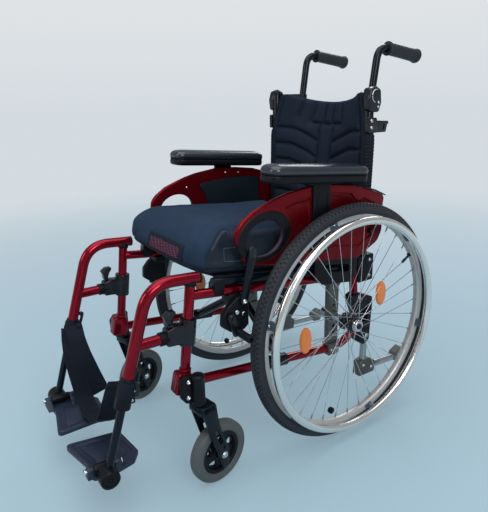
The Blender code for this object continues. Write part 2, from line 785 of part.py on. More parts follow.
def make_caster_fork():
    near = FORK_LEG_GAP
    far = near + FORK_LEG_THICKNESS
    crown = block((-far + 0.001, -0.012, 0.200), (far - 0.001, 0.0285, FORK_TOP - 0.0002))
    stem = rod((0, 0, FORK_TOP - 0.010), (0, 0, HOUSING_TOP - 0.024), CASTER_STEM_RADIUS, 10)
    washer = rod((0, 0, FORK_TOP - 0.002), (0, 0, HOUSING_BOTTOM - CLEARANCE), 0.011, 10)
    end = Vector((near + 0.002, CASTER_TRAIL, CASTER_RADIUS))
    axle = rod(end * Vector((-1, 1, 1)), end, CASTER_AXLE_RADIUS, 8)
    heads = []
    for side in (1, -1):
        start = Vector((side * (far - 0.001), CASTER_TRAIL, CASTER_RADIUS))
        heads.append(rod(start, start + Vector((side * 0.005, 0, 0)), 0.006, 6))
    return fused(fork_leg(near, far), fork_leg(-far, -near), crown, stem, washer, axle, *heads)


def caster_place():
    return Matrix.Translation((0, CASTER_TRAIL, CASTER_RADIUS))


def make_caster_tyre():
    half = CASTER_WIDTH / 2
    right = [
        (CASTER_RADIUS, half * 0.45), (CASTER_RADIUS - 0.007, half * 0.94),
        (CASTER_HUB_RADIUS + 0.006, half), (CASTER_HUB_RADIUS, half * 0.74),
    ]
    left = [(radius, -along) for radius, along in reversed(right)]
    return turned_about(turned(left + right, CASTER_FACETS, ring=True), caster_place())


def make_caster_hub():
    rim = CASTER_HUB_RADIUS - CLEARANCE
    half = CASTER_WIDTH / 2 * 0.74
    bore = CASTER_AXLE_RADIUS + RUNNING_CLEARANCE
    boss_end = half + 0.004
    right = [
        (rim, half), (rim - 0.008, half), (rim - 0.011, 0.004), (0.016, 0.005), (0.013, boss_end),
        (bore, boss_end),
    ]
    left = [(radius, -along) for radius, along in reversed(right)]
    hub = turned(right + left, CASTER_FACETS, ring=True)
    openings = []
    for index in range(5):
        petal = ((-0.003, 0.0185), (0.014, 0.036), (-0.010, 0.0375))
        opening = slab(petal, -0.02, 0.02)
        openings.append(turned_about(opening, Matrix.Rotation(2 * pi * index / 5, 4, "X")))
    return turned_about(cut(hub, *openings), caster_place())


# Side guard and armrest

def guard_outline():
    corners = [
        (-0.293, 0.509), (-0.317, 0.567), (-0.314, 0.590), (-0.299, 0.605), (-0.271, 0.623), (-0.243, 0.633),
        (-0.209, 0.644), (-0.174, 0.652), (-0.106, 0.660), (-0.039, 0.657), (0.027, 0.648), (0.091, 0.629),
        (0.147, 0.607), (0.143, 0.582), (0.144, 0.515), (0.129, 0.488), (0.057, 0.456), (-0.085, 0.474),
        (-0.180, 0.486),
    ]
    return [Vector(corner) for corner in corners]


def make_side_guard():
    outer_x = GUARD_INNER_X + GUARD_THICKNESS
    shell = slab(guard_outline(), GUARD_INNER_X, outer_x, 0.0025)
    ring_outline = oval(GUARD_OPENING, GUARD_RING_SIZE, GUARD_OPENING_TURN)
    ring = slab(ring_outline, GUARD_INNER_X - 0.0015, outer_x + 0.0012)
    beam_corners = (
        (-0.088, 0.480), (-0.084, 0.428), (-0.060, 0.408), (0.036, 0.394), (0.058, 0.410), (0.062, 0.470),
    )
    beam = slab(beam_corners, FRAME_X + 0.0128, GUARD_INNER_X + 0.006)
    fused(shell, ring, beam)
    opening = slab(oval(GUARD_OPENING, GUARD_OPENING_SIZE, GUARD_OPENING_TURN), 0.15, 0.25)
    slot_corners = ((-0.053, 0.454), (-0.053, 0.437), (0.031, 0.427), (0.031, 0.443))
    slot = slab(rounded(slot_corners, 0.004), 0.15, 0.25)
    post_groove = block(
        (outer_x - 0.004, ARM_POST_FRONT - CLEARANCE, ARM_POST_FOOT - 0.004),
        (outer_x + 0.01, ARM_POST_REAR + CLEARANCE, 0.68),
    )
    depth = outer_x - 0.0018
    panels = []
    for corners in (
        ((-0.168, 0.592), (-0.160, 0.632), (-0.116, 0.645), (-0.116, 0.592)),
        ((-0.036, 0.592), (-0.036, 0.644), (0.035, 0.632), (0.092, 0.612), (0.096, 0.592)),
    ):
        panels.append(slab(corners, depth, outer_x + 0.01))
    return cut(shell, opening, slot, post_groove, *panels)


def pad_underside(y):
    """Height of the arm pad's underside, which falls towards the rear."""
    middle = ARM_PAD_Z - ARM_PAD_HEIGHT / 2 / cos(ARM_PAD_SLOPE)
    return middle - (y - ARM_PAD_Y) * tan(ARM_PAD_SLOPE)


def make_arm_post():
    inner = GUARD_INNER_X + GUARD_THICKNESS - 0.004 + CLEARANCE
    outline = [
        (ARM_POST_FRONT, ARM_POST_FOOT), (ARM_POST_REAR, ARM_POST_FOOT),
        (ARM_POST_REAR, pad_underside(ARM_POST_REAR) - CLEARANCE),
        (ARM_POST_FRONT, pad_underside(ARM_POST_FRONT) - CLEARANCE),
    ]
    return slab(outline, inner, inner + ARM_POST_THICKNESS, 0.0012)


def make_arm_pad():
    x = ARM_PAD_WIDTH / 2
    y = ARM_PAD_LENGTH / 2
    outline = rounded(((x, y), (-x, y), (-x, -y), (x, -y)), 0.024, 4)
    pad = plan_slab(outline, -ARM_PAD_HEIGHT / 2, ARM_PAD_HEIGHT / 2, 0.009)
    place = Matrix.Translation((ARM_PAD_X, ARM_PAD_Y, ARM_PAD_Z)) @ Matrix.Rotation(-ARM_PAD_SLOPE, 4, "X")
    return turned_about(pad, place)


# Hanger, foot tube and footplate

def hanger_path():
    top_y = HANGER_LEG_Y + (HANGER_TOP_Z - HANGER_LEG_Z) * HANGER_LEG_SLOPE
    corners = [in_plane(*HANGER_REAR), in_plane(top_y, HANGER_TOP_Z), leg_point(HANGER_FOOT_Z)]
    return arc_corners(corners, HANGER_BEND, 5)


def cross_tube(radius, sides=8, extra=0.0):
    start = leg_point(CROSS_TUBE_Z)
    end = in_plane(CLAMP_FRONT_Y + 0.014, CROSS_TUBE_Z - 0.001)
    return rod(start, longer(start, end, extra), radius, sides)


def make_hanger():
    leg_sleeve = rod(
        leg_point(HANGER_FOOT_Z - 0.002), leg_point(LEG_SLEEVE_TOP_Z),
        LEG_SLEEVE_RADIUS, 12, LEG_SLEEVE_RADIUS - 0.0015,
    )
    collar = rod(
        side_point(FRONT_P, FRONT_TUBE_TOP + CLEARANCE), side_point(FRONT_P, FRONT_TUBE_TOP + 0.012), 0.0118,
    )
    pin = rod(
        side_point(FRONT_P, FRONT_TUBE_TOP - HANGER_PIN_DEPTH), side_point(FRONT_P, FRONT_TUBE_TOP + 0.006),
        HANGER_PIN_RADIUS,
    )
    hanger = fused(tube(hanger_path(), HANGER_RADIUS), cross_tube(CROSS_TUBE_RADIUS), leg_sleeve, collar, pin)
    bore = rod(
        leg_point(HANGER_FOOT_Z - 0.02), leg_point(HANGER_FOOT_Z + FOOT_TUBE_BORE),
        FOOT_TUBE_RADIUS + RUNNING_CLEARANCE,
    )
    return cut(hanger, bore)


def make_hanger_clamp():
    collar = rod(side_point(FRONT_P, CLAMP_LOW_Q), side_point(FRONT_P, CLAMP_HIGH_Q), CLAMP_RADIUS, 12)
    corners = [
        (CLAMP_FRONT_Y, 0.368), (-0.432, 0.362), (-0.426, 0.402), (-0.462, 0.406), (CLAMP_FRONT_Y, 0.402),
    ]
    body = slab(rounded(corners, 0.005, 2), FRAME_X - 0.0135, FRAME_X + 0.0135)
    bore = rod(
        side_point(FRONT_P, CLAMP_LOW_Q - 0.02), side_point(FRONT_P, CLAMP_HIGH_Q + 0.02),
        FRAME_TUBE_RADIUS + RUNNING_CLEARANCE, 12,
    )
    socket = cross_tube(CROSS_TUBE_RADIUS + CLEARANCE * 1.5, extra=2 * CLEARANCE)
    return cut(fused(collar, body), bore, socket)


def make_hanger_lever():
    y, z = LATCH_PIVOT
    low_x = FRAME_X - LATCH_HALF
    high_x = FRAME_X + LATCH_HALF
    knuckle = rod((low_x, y, z), (high_x, y, z), 0.0045)
    corners = [
        (y - 0.003, z), (y + 0.004, z), (y + 0.003, z + 0.012), (y - 0.004, z + 0.026),
        (y - 0.013, z + 0.033), (y - 0.014, z + 0.029), (y - 0.006, z + 0.020),
    ]
    return fused(knuckle, slab(corners, low_x, high_x))


def foot_disc_centre(x=FRAME_X):
    return leg_point(FOOT_DISC_Z, x)


def toe_up():
    """The turn about the joint disc that lifts the plate's front edge."""
    centre = foot_disc_centre(0)
    turn = Matrix.Rotation(-PLATE_TOE_UP, 4, "X")
    return Matrix.Translation(centre) @ turn @ Matrix.Translation(-centre)


def hinge_rod(low_y, high_y, radius, sides=10):
    """A round bar on the footplate's hinge line, its ends measured from the joint disc."""
    y = foot_disc_centre().y
    start = (PLATE_PIN_X, y + low_y, PLATE_PIN_Z)
    return rod(start, (PLATE_PIN_X, y + high_y, PLATE_PIN_Z), radius, sides)


def make_foot_tube():
    centre = foot_disc_centre()
    bar = rod(leg_point(HANGER_FOOT_Z + FOOT_TUBE_INSERT), centre, FOOT_TUBE_RADIUS)
    inner_end = foot_disc_centre(FOOT_DISC_INNER_X)
    disc = rod(inner_end, foot_disc_centre(FOOT_DISC_OUTER_X), FOOT_DISC_RADIUS, 12)
    knuckle = hinge_rod(-KNUCKLE_HALF, KNUCKLE_HALF, 0.0100)
    arm_half = KNUCKLE_HALF - 0.006
    arm = block(
        (PLATE_PIN_X, centre.y - arm_half, PLATE_PIN_Z - 0.0098),
        (FOOT_DISC_INNER_X + 0.002, centre.y + arm_half, PLATE_PIN_Z + 0.0085),
    )
    pin = hinge_rod(-PLATE_PIN_LENGTH / 2, PLATE_PIN_LENGTH / 2, PLATE_PIN_RADIUS, 8)
    return fused(bar, disc, turned_about(fused(knuckle, arm, pin), toe_up()))


def make_footplate():
    y = foot_disc_centre().y
    plan = (
        (0.0245, -0.6722), (0.037, -0.549), (0.130, -0.540), (0.156, -0.560), (0.166, -0.598),
        (0.166, -0.655), (0.118, -0.652),
    )
    plate = plan_slab(rounded(plan, 0.010, 2), PLATE_TOP_Z - PLATE_THICKNESS, PLATE_TOP_Z)
    lugs = []
    start = KNUCKLE_HALF + CLEARANCE
    for low, high in ((start, start + LUG_WIDTH), (-start - LUG_WIDTH, -start)):
        lugs.append(hinge_rod(low, high, 0.0082))
        lugs.append(block(
            (PLATE_PIN_X - 0.0075, y + low + 0.0002, PLATE_TOP_Z - 0.004),
            (PLATE_PIN_X + 0.0075, y + high - 0.0002, PLATE_PIN_Z),
        ))
    fused(plate, *lugs)
    well = (
        (0.034, -0.660), (0.046, -0.561), (0.124, -0.553), (0.142, -0.570), (0.146, -0.644), (0.112, -0.642),
    )
    tread = plan_slab(rounded(well, 0.006), PLATE_TOP_Z - TREAD_DEPTH, PLATE_TOP_Z + 0.01)
    pin = hinge_rod(-PLATE_PIN_LENGTH, PLATE_PIN_LENGTH, PLATE_PIN_RADIUS + RUNNING_CLEARANCE)
    return turned_about(cut(plate, tread, pin), toe_up())


# Brake

def make_brake_housing():
    outer = BRAKE_X + BRAKE_THICKNESS
    corners = [
        (-0.352, 0.388), (-0.354, 0.408), (-0.340, 0.424), (-0.318, 0.440), (-0.296, 0.444), (-0.288, 0.424),
        (-0.290, 0.378), (-0.303, 0.369), (-0.330, 0.374),
    ]
    body = slab(rounded(corners, 0.008), BRAKE_X, outer)
    rail_z = side_point(-0.13, RAIL_SPACING).z
    clamp = block((FRAME_X - 0.0145, -0.330, rail_z - 0.0215), (BRAKE_X + 0.004, -0.298, rail_z - 0.001))
    head = outer + LEVER_GAP + LEVER_THICKNESS + 0.0006
    pins = []
    for y, z in (BRAKE_PIVOT, SHOE_PIVOT):
        pins.append(rod((outer - 0.002, y, z), (head + 0.001, y, z), BRAKE_PIN_RADIUS, 8))
        pins.append(rod((head, y, z), (head + 0.003, y, z), 0.006, 6))
    for y, z in ((-0.316, 0.406), (-0.300, 0.398)):
        pins.append(rod((outer - 0.002, y, z), (outer + 0.001, y, z), 0.005, 6))
    fused(body, clamp, *pins)
    return cut(body, upper_rail(FRAME_TUBE_RADIUS + CLEARANCE * 1.5))


def brake_arm_x():
    inner = BRAKE_X + BRAKE_THICKNESS + LEVER_GAP
    return inner, inner + LEVER_THICKNESS


def make_brake_lever():
    inner, outer = brake_arm_x()
    y, z = BRAKE_PIVOT
    tip_y, tip_z = BRAKE_TIP
    corners = [
        (y - 0.010, z + 0.002), (y - 0.006, z - 0.010), (y + 0.008, z - 0.009), (y + 0.011, z + 0.006),
        (tip_y + 0.0085, tip_z - 0.004), (tip_y + 0.007, tip_z + 0.008),
        (tip_y - 0.008, tip_z + 0.011), (tip_y - 0.012, tip_z + 0.002),
    ]
    bar = slab(rounded(corners, 0.005), inner, outer)
    return cut(bar, rod((inner - 0.01, y, z), (outer + 0.01, y, z), BRAKE_PIN_RADIUS + RUNNING_CLEARANCE))


def make_brake_shoe():
    inner, outer = brake_arm_x()
    y, z = SHOE_PIVOT
    bar_y, bar_z = SHOE_BAR
    corners = [
        (y - 0.0095, z), (y - 0.006, z + 0.008), (y + 0.006, z + 0.008), (y + 0.0100, z - 0.002),
        (bar_y + 0.010, bar_z + 0.003), (bar_y + 0.007, bar_z - 0.008), (bar_y - 0.008, bar_z - 0.007),
    ]
    arm = slab(rounded(corners, 0.004), inner, outer)
    bar = rod((inner + 0.001, bar_y, bar_z), (SHOE_BAR_END_X, bar_y, bar_z), SHOE_BAR_RADIUS, 12)
    bore = rod((inner - 0.01, y, z), (outer + 0.01, y, z), BRAKE_PIN_RADIUS + RUNNING_CLEARANCE)
    return cut(fused(arm, bar), bore)


# Backrest post and push handle

def handle_bracket(low_z, high_z):
    """A lug from the back of the post round the push handle's tube."""
    middle = (low_z + high_z) / 2
    handle_y = handle_point(middle).y
    reach = Vector((HANDLE_X - FRAME_X, handle_y - POST_Y)).normalized()
    side = Vector((-reach.y, reach.x))
    post = Vector((FRAME_X, POST_Y))
    handle = Vector((HANDLE_X, handle_y))
    outline = []
    for centre, radius, start in ((handle, 0.0140, -pi / 2), (post, 0.0165, pi / 2)):
        for step in range(5):
            angle = start + pi * step / 4
            outline.append(centre + (reach * cos(angle) + side * sin(angle)) * radius)
    lug = plan_slab([(point.x, point.y) for point in outline], low_z, high_z)
    front = block((0.05, 0.0, low_z - 0.01), (0.25, POST_Y + 0.0035, high_z + 0.01))
    return cut(lug, front)


def make_backrest_post():
    post = rod((FRAME_X, POST_Y, POST_BOTTOM), (FRAME_X, POST_Y, POST_TOP), POST_RADIUS, 10)
    foot = block((FRAME_X - BRACKET_HALF, 0.0765, 0.376), (FRAME_X + BRACKET_HALF, 0.136, 0.450), 0.004)
    cap = rod(
        in_plane(POST_Y, POST_TOP - 0.002), in_plane(POST_Y, POST_TOP + 0.005),
        POST_RADIUS + 0.001, 10, POST_RADIUS - 0.003,
    )
    fused(post, foot, cap, handle_bracket(0.766, 0.792), handle_bracket(0.822, 0.860))
    handle_bore = rod(handle_point(0.74), handle_point(0.89), HANDLE_RADIUS + RUNNING_CLEARANCE)
    fit = FRAME_TUBE_RADIUS + CLEARANCE * 1.5
    upright = rod(in_plane(*REAR_UPRIGHT_FOOT), in_plane(*REAR_UPRIGHT_TOP), fit + 0.0016, 10)
    lift = in_plane(*REAR_UPRIGHT_TOP)
    upright_cap = rod(lift - Vector((0, 0, 0.01)), lift + Vector((0, 0, 0.03)), fit + 0.0018, 10)
    return cut(post, handle_bore, upright, upright_cap)


def handle_path():
    corner = handle_point(HANDLE_CORNER_Z)
    end = Vector((HANDLE_X, GRIP_END[0] - 0.008, GRIP_END[1] + 0.001))
    return arc_corners([handle_point(HANDLE_BOTTOM_Z), corner, end], HANDLE_BEND, 6)


def make_push_handle():
    return tube(handle_path(), HANDLE_RADIUS)


def make_push_grip():
    start = Vector((HANDLE_X, *GRIP_START))
    end = Vector((HANDLE_X, *GRIP_END))
    length = (end - start).length
    profile = [
        (0, 0), (GRIP_RADIUS + 0.002, 0), (GRIP_RADIUS + 0.002, 0.005), (GRIP_RADIUS - 0.001, 0.008),
        (GRIP_RADIUS, length * 0.55), (GRIP_RADIUS + 0.003, length - 0.008), (GRIP_RADIUS, length),
        (0, length),
    ]
    grip = turned(profile, 10)
    place = Matrix.Translation(start) @ (end - start).to_track_quat("X", "Z").to_matrix().to_4x4()
    turned_about(grip, place)
    path_back, path_end = handle_path()[-2:]
    along = (path_end - path_back).normalized()
    bore = rod(path_back - along * 0.02, path_end + along * 0.001, HANDLE_RADIUS + RUNNING_CLEARANCE)
    return cut(grip, bore)


# Cross brace

def brace_arm(sleeve_side, p):
    """One arm of the brace: a sleeve on the lower rail of one side, a seat tube on the other."""
    low = side_point(p, 0, sleeve_side * FRAME_X)
    high = side_point(p, SEAT_TUBE_Q, -sleeve_side * FRAME_X)
    arm = rod(low, low.lerp(high, BRACE_ROUND_SHARE), BRACE_RADIUS, 10)
    tongue = rod(low.lerp(high, BRACE_ROUND_SHARE - 0.02), high, BRACE_TONGUE_RADIUS, 8)
    half = BRACE_SLEEVE_LENGTH / 2
    sleeve_end = side_point(half, 0, sleeve_side * FRAME_X)
    sleeve = rod(side_point(-half, 0, sleeve_side * FRAME_X), sleeve_end, BRACE_SLEEVE_RADIUS, 12)
    seat = rod(
        side_point(SEAT_TUBE_FRONT, SEAT_TUBE_Q, -sleeve_side * FRAME_X),
        side_point(SEAT_TUBE_REAR, SEAT_TUBE_Q, -sleeve_side * FRAME_X), FRAME_TUBE_RADIUS, 10,
    )
    return fused(arm, tongue, sleeve, seat)


def rail_bore(sleeve_side):
    half = BRACE_SLEEVE_LENGTH
    start = side_point(-half, 0, sleeve_side * FRAME_X)
    return rod(start, side_point(half, 0, sleeve_side * FRAME_X), FRAME_TUBE_RADIUS + RUNNING_CLEARANCE, 12)


def brace_centre(p):
    return side_point(p, SEAT_TUBE_Q / 2, 0)


def make_brace_a():
    reach = BRACE_OFFSET + BRACE_RADIUS + 0.004
    bolt = rod(brace_centre(-reach), brace_centre(reach), PIVOT_BOLT_RADIUS, 8)
    return cut(fused(brace_arm(-1, -BRACE_OFFSET), bolt), rail_bore(-1))


def make_brace_b():
    bolt = rod(brace_centre(-0.06), brace_centre(0.06), PIVOT_BOLT_RADIUS + RUNNING_CLEARANCE, 10)
    return cut(brace_arm(1, BRACE_OFFSET), rail_bore(1), bolt)


# Soft parts

def grid_solid(columns, rows, top, bottom):
    """A closed solid between two sheets of points, each worked out from (u, v) in 0 to 1."""
    bm = bmesh.new()
    sheets = []
    for sheet in (top, bottom):
        verts = []
        for row in range(rows + 1):
            line = [sheet(column / columns, row / rows) for column in range(columns + 1)]
            verts.append([bm.verts.new(point) for point in line])
        sheets.append(verts)
    for verts in sheets:
        for row in range(rows):
            for column in range(columns):
                near = verts[row][column:column + 2]
                far = verts[row + 1][column:column + 2]
                bm.faces.new((*near, *reversed(far)))
    over, under = sheets
    border = [(0, column) for column in range(columns)]
    border += [(row, columns) for row in range(rows)]
    border += [(rows, column) for column in range(columns, 0, -1)]
    border += [(row, 0) for row in range(rows, 0, -1)]
    for index, (row, column) in enumerate(border):
        next_row, next_column = border[(index + 1) % len(border)]
        upper = (over[row][column], over[next_row][next_column])
        lower = (under[next_row][next_column], under[row][column])
        bm.faces.new((*upper, *lower))
    return part_from(bm)


def make_seat_sling():
    low_q = SEAT_TUBE_Q + FRAME_TUBE_RADIUS + CLEARANCE
    half = SLING_WIDTH / 2
    flat = (FRAME_X - 0.012) / half

    def drop(u):
        across = abs(2 * u - 1)
        return 0 if across > flat else SLING_SAG * (1 - (across / flat) ** 2)

    def sheet(height):
        def point(u, v):
            p = SEAT_TUBE_FRONT + 0.004 + v * (SEAT_TUBE_REAR - SEAT_TUBE_FRONT - 0.008)
            return side_point(p, low_q + height - drop(u), (2 * u - 1) * half)
        return point

    return grid_solid(14, 2, sheet(SLING_THICKNESS), sheet(0))


def edge_share(value, reach):
    """0 at an edge of the 0 to 1 range, rising as a quarter circle to 1 at the given reach."""
    inset = min(value, 1 - value) / reach
    return 1.0 if inset >= 1 else sqrt(max(0.0, 1 - (1 - inset) ** 2))


def spread(value, lean=0.55):
    """Crowds the columns of a grid towards both edges, where the surface turns down."""
    centred = 2 * value - 1
    return 0.5 + 0.5 * (centred * (1 - lean) + lean * sin(centred * pi / 2))


def make_cushion():
    base = SEAT_TUBE_Q + FRAME_TUBE_RADIUS + CLEARANCE + SLING_THICKNESS + CLEARANCE
    half = CUSHION_WIDTH / 2
    length = CUSHION_REAR_P - CUSHION_FRONT_P

    def place(u, v):
        """Plan position, with the corners of the plan rounded and the long sides drawn in."""
        u = spread(u, 0.6)
        v = spread(v, 0.6)
        across = 2 * u - 1
        along = 2 * v - 1
        corner = 1 - 0.045 * (abs(across) ** 6) * (abs(along) ** 6)
        waist = 1 - 0.016 * (1 - along * along)
        x = across * half * corner * waist
        p = CUSHION_FRONT_P + length * (0.5 + 0.5 * along * corner)
        return u, v, x, p

    def over(u, v):
        u, v, x, p = place(u, v)
        height = CUSHION_FRONT_HEIGHT + (CUSHION_REAR_HEIGHT - CUSHION_FRONT_HEIGHT) * v
        shoulder = edge_share(u, 0.11) * edge_share(v, 0.09)
        dish = 0.006 * max(0.0, 1 - ((u - 0.5) / 0.36) ** 2) * max(0.0, 1 - ((v - 0.6) / 0.4) ** 2)
        return side_point(p, base + height * (0.52 + 0.48 * shoulder) - dish, x)

    def under(u, v):
        u, v, x, p = place(u, v)
        lift = 0.020 * (1 - edge_share(u, 0.06) * edge_share(v, 0.07))
        return side_point(p, base + lift, x * 0.995)

    return grid_solid(14, 11, over, under)


def back_middle_y(x, z):
    """The cloth's middle surface: it bows back between the posts and leans forward at its waist."""
    across = abs(x) / FRAME_X
    bow = 0.0145 * max(0.0, 1 - across ** 2)
    waist = 0.004 * sin(pi * (z - BACK_BOTTOM) / (BACK_TOP - BACK_BOTTOM))
    return 0.0845 + bow - waist


def back_columns():
    """(side, angle or None, x) of each column of the upholstery, from right to left."""
    wraps = [(1, radians(angle), FRAME_X) for angle in BACK_WRAP_ANGLES]
    panel = []
    for index in range(BACK_PANEL_COLUMNS):
        share = 2 * index / (BACK_PANEL_COLUMNS - 1) - 1
        panel.append((1, None, share * BACK_PANEL_HALF))
    return [(-1, angle, -x) for side, angle, x in reversed(wraps)] + panel + wraps


def make_back_upholstery():
    columns = back_columns()
    last = len(columns) - 1
    half_step = radians(BACK_WRAP_ANGLES[1] - BACK_WRAP_ANGLES[0]) / 2
    inner = (POST_RADIUS + 2 * CLEARANCE) / cos(half_step)

    def channel(x, v):
        """Padded panels between sewn lines: upright ones at the top, chevrons under them."""
        across = abs(x) / FRAME_X
        panel = across * 5.0 if v > 0.80 else v * 8.5 - across * 1.3
        return edge_share(v, 0.05) * 0.0035 * abs(sin(pi * panel))

    def sheet(radius, offset, padded):
        def point(u, v):
            side, angle, x = columns[round(u * last)]
            across = abs(x) / FRAME_X
            top = BACK_TOP - BACK_TOP_DIP * (1 - across ** 2)
            z = BACK_BOTTOM + (top - BACK_BOTTOM) * v
            if angle is not None:
                return Vector((x + side * radius * sin(angle), POST_Y - radius * cos(angle), z))
            return Vector((x, back_middle_y(x, z) + offset - padded * channel(x, v), z))
        return point

    front = sheet(inner + 0.005, -BACK_THICKNESS / 2, 1)
    rear = sheet(inner, BACK_THICKNESS / 2, 0)
    return grid_solid(last, 9, front, rear)


def make_calf_strap():
    """A webbing strap that hangs in a slack V between the two leg sleeves."""
    route = [
        Vector((0.143, -0.568, 0.292)), Vector((0.090, -0.580, 0.222)), Vector((0.020, -0.598, 0.170)),
        Vector((-0.040, -0.600, 0.176)), Vector((-0.100, -0.596, 0.250)), Vector((-0.143, -0.576, 0.300)),
    ]
    points = arc_corners(route, 0.05, 3)
    last = len(points) - 1

    def sheet(offset):
        def point(u, v):
            index = min(int(round(v * last)), last)
            here = points[index]
            ahead = (points[min(index + 1, last)] - points[max(index - 1, 0)]).normalized()
            width = Vector((-ahead.z, 0, ahead.x)).normalized()
            if width.z < 0:
                width = -width
            normal = ahead.cross(width).normalized()
            return here + width * (u - 0.5) * STRAP_WIDTH + normal * offset
        return point

    return grid_solid(2, last, sheet(STRAP_THICKNESS / 2), sheet(-STRAP_THICKNESS / 2))


# The chair

def make_wheels(finishes):
    holders = []
    for side, name in ((1, "left"), (-1, "right")):
        holders.append(empty("wheel_" + name, (side * WHEEL_PLANE_X, 0, HUB_Z), (0, -side * CAMBER, 0)))
    keep_pair(make_tyre(), "rear_tyre", finishes["tyre"], parents=holders)
    keep_pair(make_rim(), "rear_rim", finishes["steel"], parents=holders)
    keep_pair(make_hub(), "rear_hub", finishes["steel"], parents=holders)
    keep_pair(make_handrim(), "handrim", finishes["steel"], parents=holders)
    keep_pair(make_button(), "axle_button", finishes["black"], parents=holders)
    return holders


def make_casters(finishes):
    holders = []
    for side, name, yaw in ((1, "left", CASTER_YAW_LEFT), (-1, "right", CASTER_YAW_RIGHT)):
        holders.append(empty("caster_" + name, (side * CASTER_STEM_X, CASTER_STEM_Y, 0), (0, 0, yaw)))
    keep_pair(make_caster_fork(), "caster_fork", finishes["black_metal"], parents=holders)
    axle = (0, CASTER_TRAIL, CASTER_RADIUS)
    keep_pair(make_caster_hub(), "caster_hub", finishes["black"], axle, holders)
    keep_pair(make_caster_tyre(), "caster_tyre", finishes["grey_tyre"], axle, holders)
    return holders


def make_sides(finishes):
    keep_pair(make_side_frame(), "side_frame", finishes["red"], side_point(0, 0))
    keep_pair(make_rear_bracket(), "rear_bracket", finishes["black_metal"], in_plane(*REAR_UPRIGHT_FOOT))
    keep_pair(make_tipping_lever(), "tipping_lever", finishes["alloy"], in_plane(*TIPPING_BEND))
    keep_pair(make_axle_plate(), "axle_plate", finishes["alloy"], axle_point(0))
    keep_pair(make_caster_housing(), "caster_housing", finishes["black"], stem_point(HOUSING_BOTTOM))
    keep_pair(make_side_guard(), "side_guard", finishes["red"], in_plane(0, 0.560, GUARD_INNER_X))
    keep_pair(make_arm_post(), "arm_post", finishes["black"], (GUARD_INNER_X, ARM_POST_FRONT, ARM_POST_FOOT))
    keep_pair(make_arm_pad(), "arm_pad", finishes["pad"], (ARM_PAD_X, ARM_PAD_Y, ARM_PAD_Z))
    swing = side_point(FRONT_P, 0)
    keep_pair(make_hanger(), "hanger", finishes["red"], swing)
    keep_pair(make_hanger_clamp(), "hanger_clamp", finishes["black"], swing)
    keep_pair(make_hanger_lever(), "hanger_lever", finishes["black"], in_plane(*LATCH_PIVOT))
    keep_pair(make_foot_tube(), "foot_tube", finishes["black_metal"], foot_disc_centre())
    hinge = toe_up() @ Vector((PLATE_PIN_X, foot_disc_centre().y, PLATE_PIN_Z))
    keep_pair(make_footplate(), "footplate", finishes["black"], hinge)
    keep_pair(make_brake_housing(), "brake_housing", finishes["black"], in_plane(*BRAKE_PIVOT, BRAKE_X))
    keep_pair(make_brake_lever(), "brake_lever", finishes["black_metal"], in_plane(*BRAKE_PIVOT, BRAKE_X))
    keep_pair(make_brake_shoe(), "brake_shoe", finishes["steel"], in_plane(*SHOE_PIVOT, BRAKE_X))
    keep_pair(make_backrest_post(), "backrest_post", finishes["black_metal"], (FRAME_X, POST_Y, POST_BOTTOM))
    keep_pair(make_push_handle(), "push_handle", finishes["black_metal"], handle_point(HANDLE_BOTTOM_Z))
    keep_pair(make_push_grip(), "push_grip", finishes["rubber"], (HANDLE_X, *GRIP_START))


def make_middle(finishes):
    keep(make_brace_a(), "brace_a", finishes["black_metal"], side_point(0, 0, -FRAME_X))
    keep(make_brace_b(), "brace_b", finishes["black_metal"], brace_centre(0))
    keep(make_seat_sling(), "seat_sling", finishes["fabric"], side_point(0, SEAT_TUBE_Q, 0))
    keep(make_cushion(), "cushion", finishes["fabric"], side_point(0, SEAT_TUBE_Q, 0))
    keep(make_back_upholstery(), "back_upholstery", finishes["fabric"], (0, POST_Y, BACK_BOTTOM))
    keep(make_calf_strap(), "calf_strap", finishes["fabric"], (0, -0.60, 0.20))


def centre_chair(holders):
    """Hangs everything on one empty and moves it so that the chair's box is centred on Y."""
    datum = empty("chair_datum", (0, 0, 0))
    for piece in CHAIR_PARTS:
        if piece.parent is None:
            piece.parent = datum
    for holder in holders:
        holder.parent = datum
    bpy.context.view_layer.update()
    reach = [(piece.matrix_world @ vertex.co).y for piece in CHAIR_PARTS for vertex in piece.data.vertices]
    datum.location.y = -(min(reach) + max(reach)) / 2
    bpy.context.view_layer.update()
    print(f"datum moved by {datum.location.y:.5f} m, axle height {HUB_Z:.5f} m")


def main():
    for old in list(bpy.data.objects):
        bpy.data.objects.remove(old)
    finishes = make_finishes()
    holders = make_wheels(finishes) + make_casters(finishes)
    make_sides(finishes)
    make_middle(finishes)
    centre_chair(holders)
    folded = hypot(2 * FRAME_X, SEAT_TUBE_Q)
    print(f"{len(CHAIR_PARTS)} pieces, brace arm {folded:.4f} m between its outer pivots")


main()
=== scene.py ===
# %% [markdown]
# # A folding active wheelchair, dressed for a studio picture
#
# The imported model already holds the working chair: tubes, castings, joints and sizes. This lesson
# keeps it as a fixed frame and builds the finished surface of each part over it. Positions are
# written from the rear axle: y = 0 lies over it, z = 0 is the floor, and +X is the chair's left.
# The left side is modelled and its mirror image becomes the right side, as in the CAD source.

# %% Load the frame
import json
from math import atan2, cos, pi, radians, sin, sqrt, tan

import bmesh
import bpy
from mathutils import Matrix, Vector, noise
from mathutils.bvhtree import BVHTree

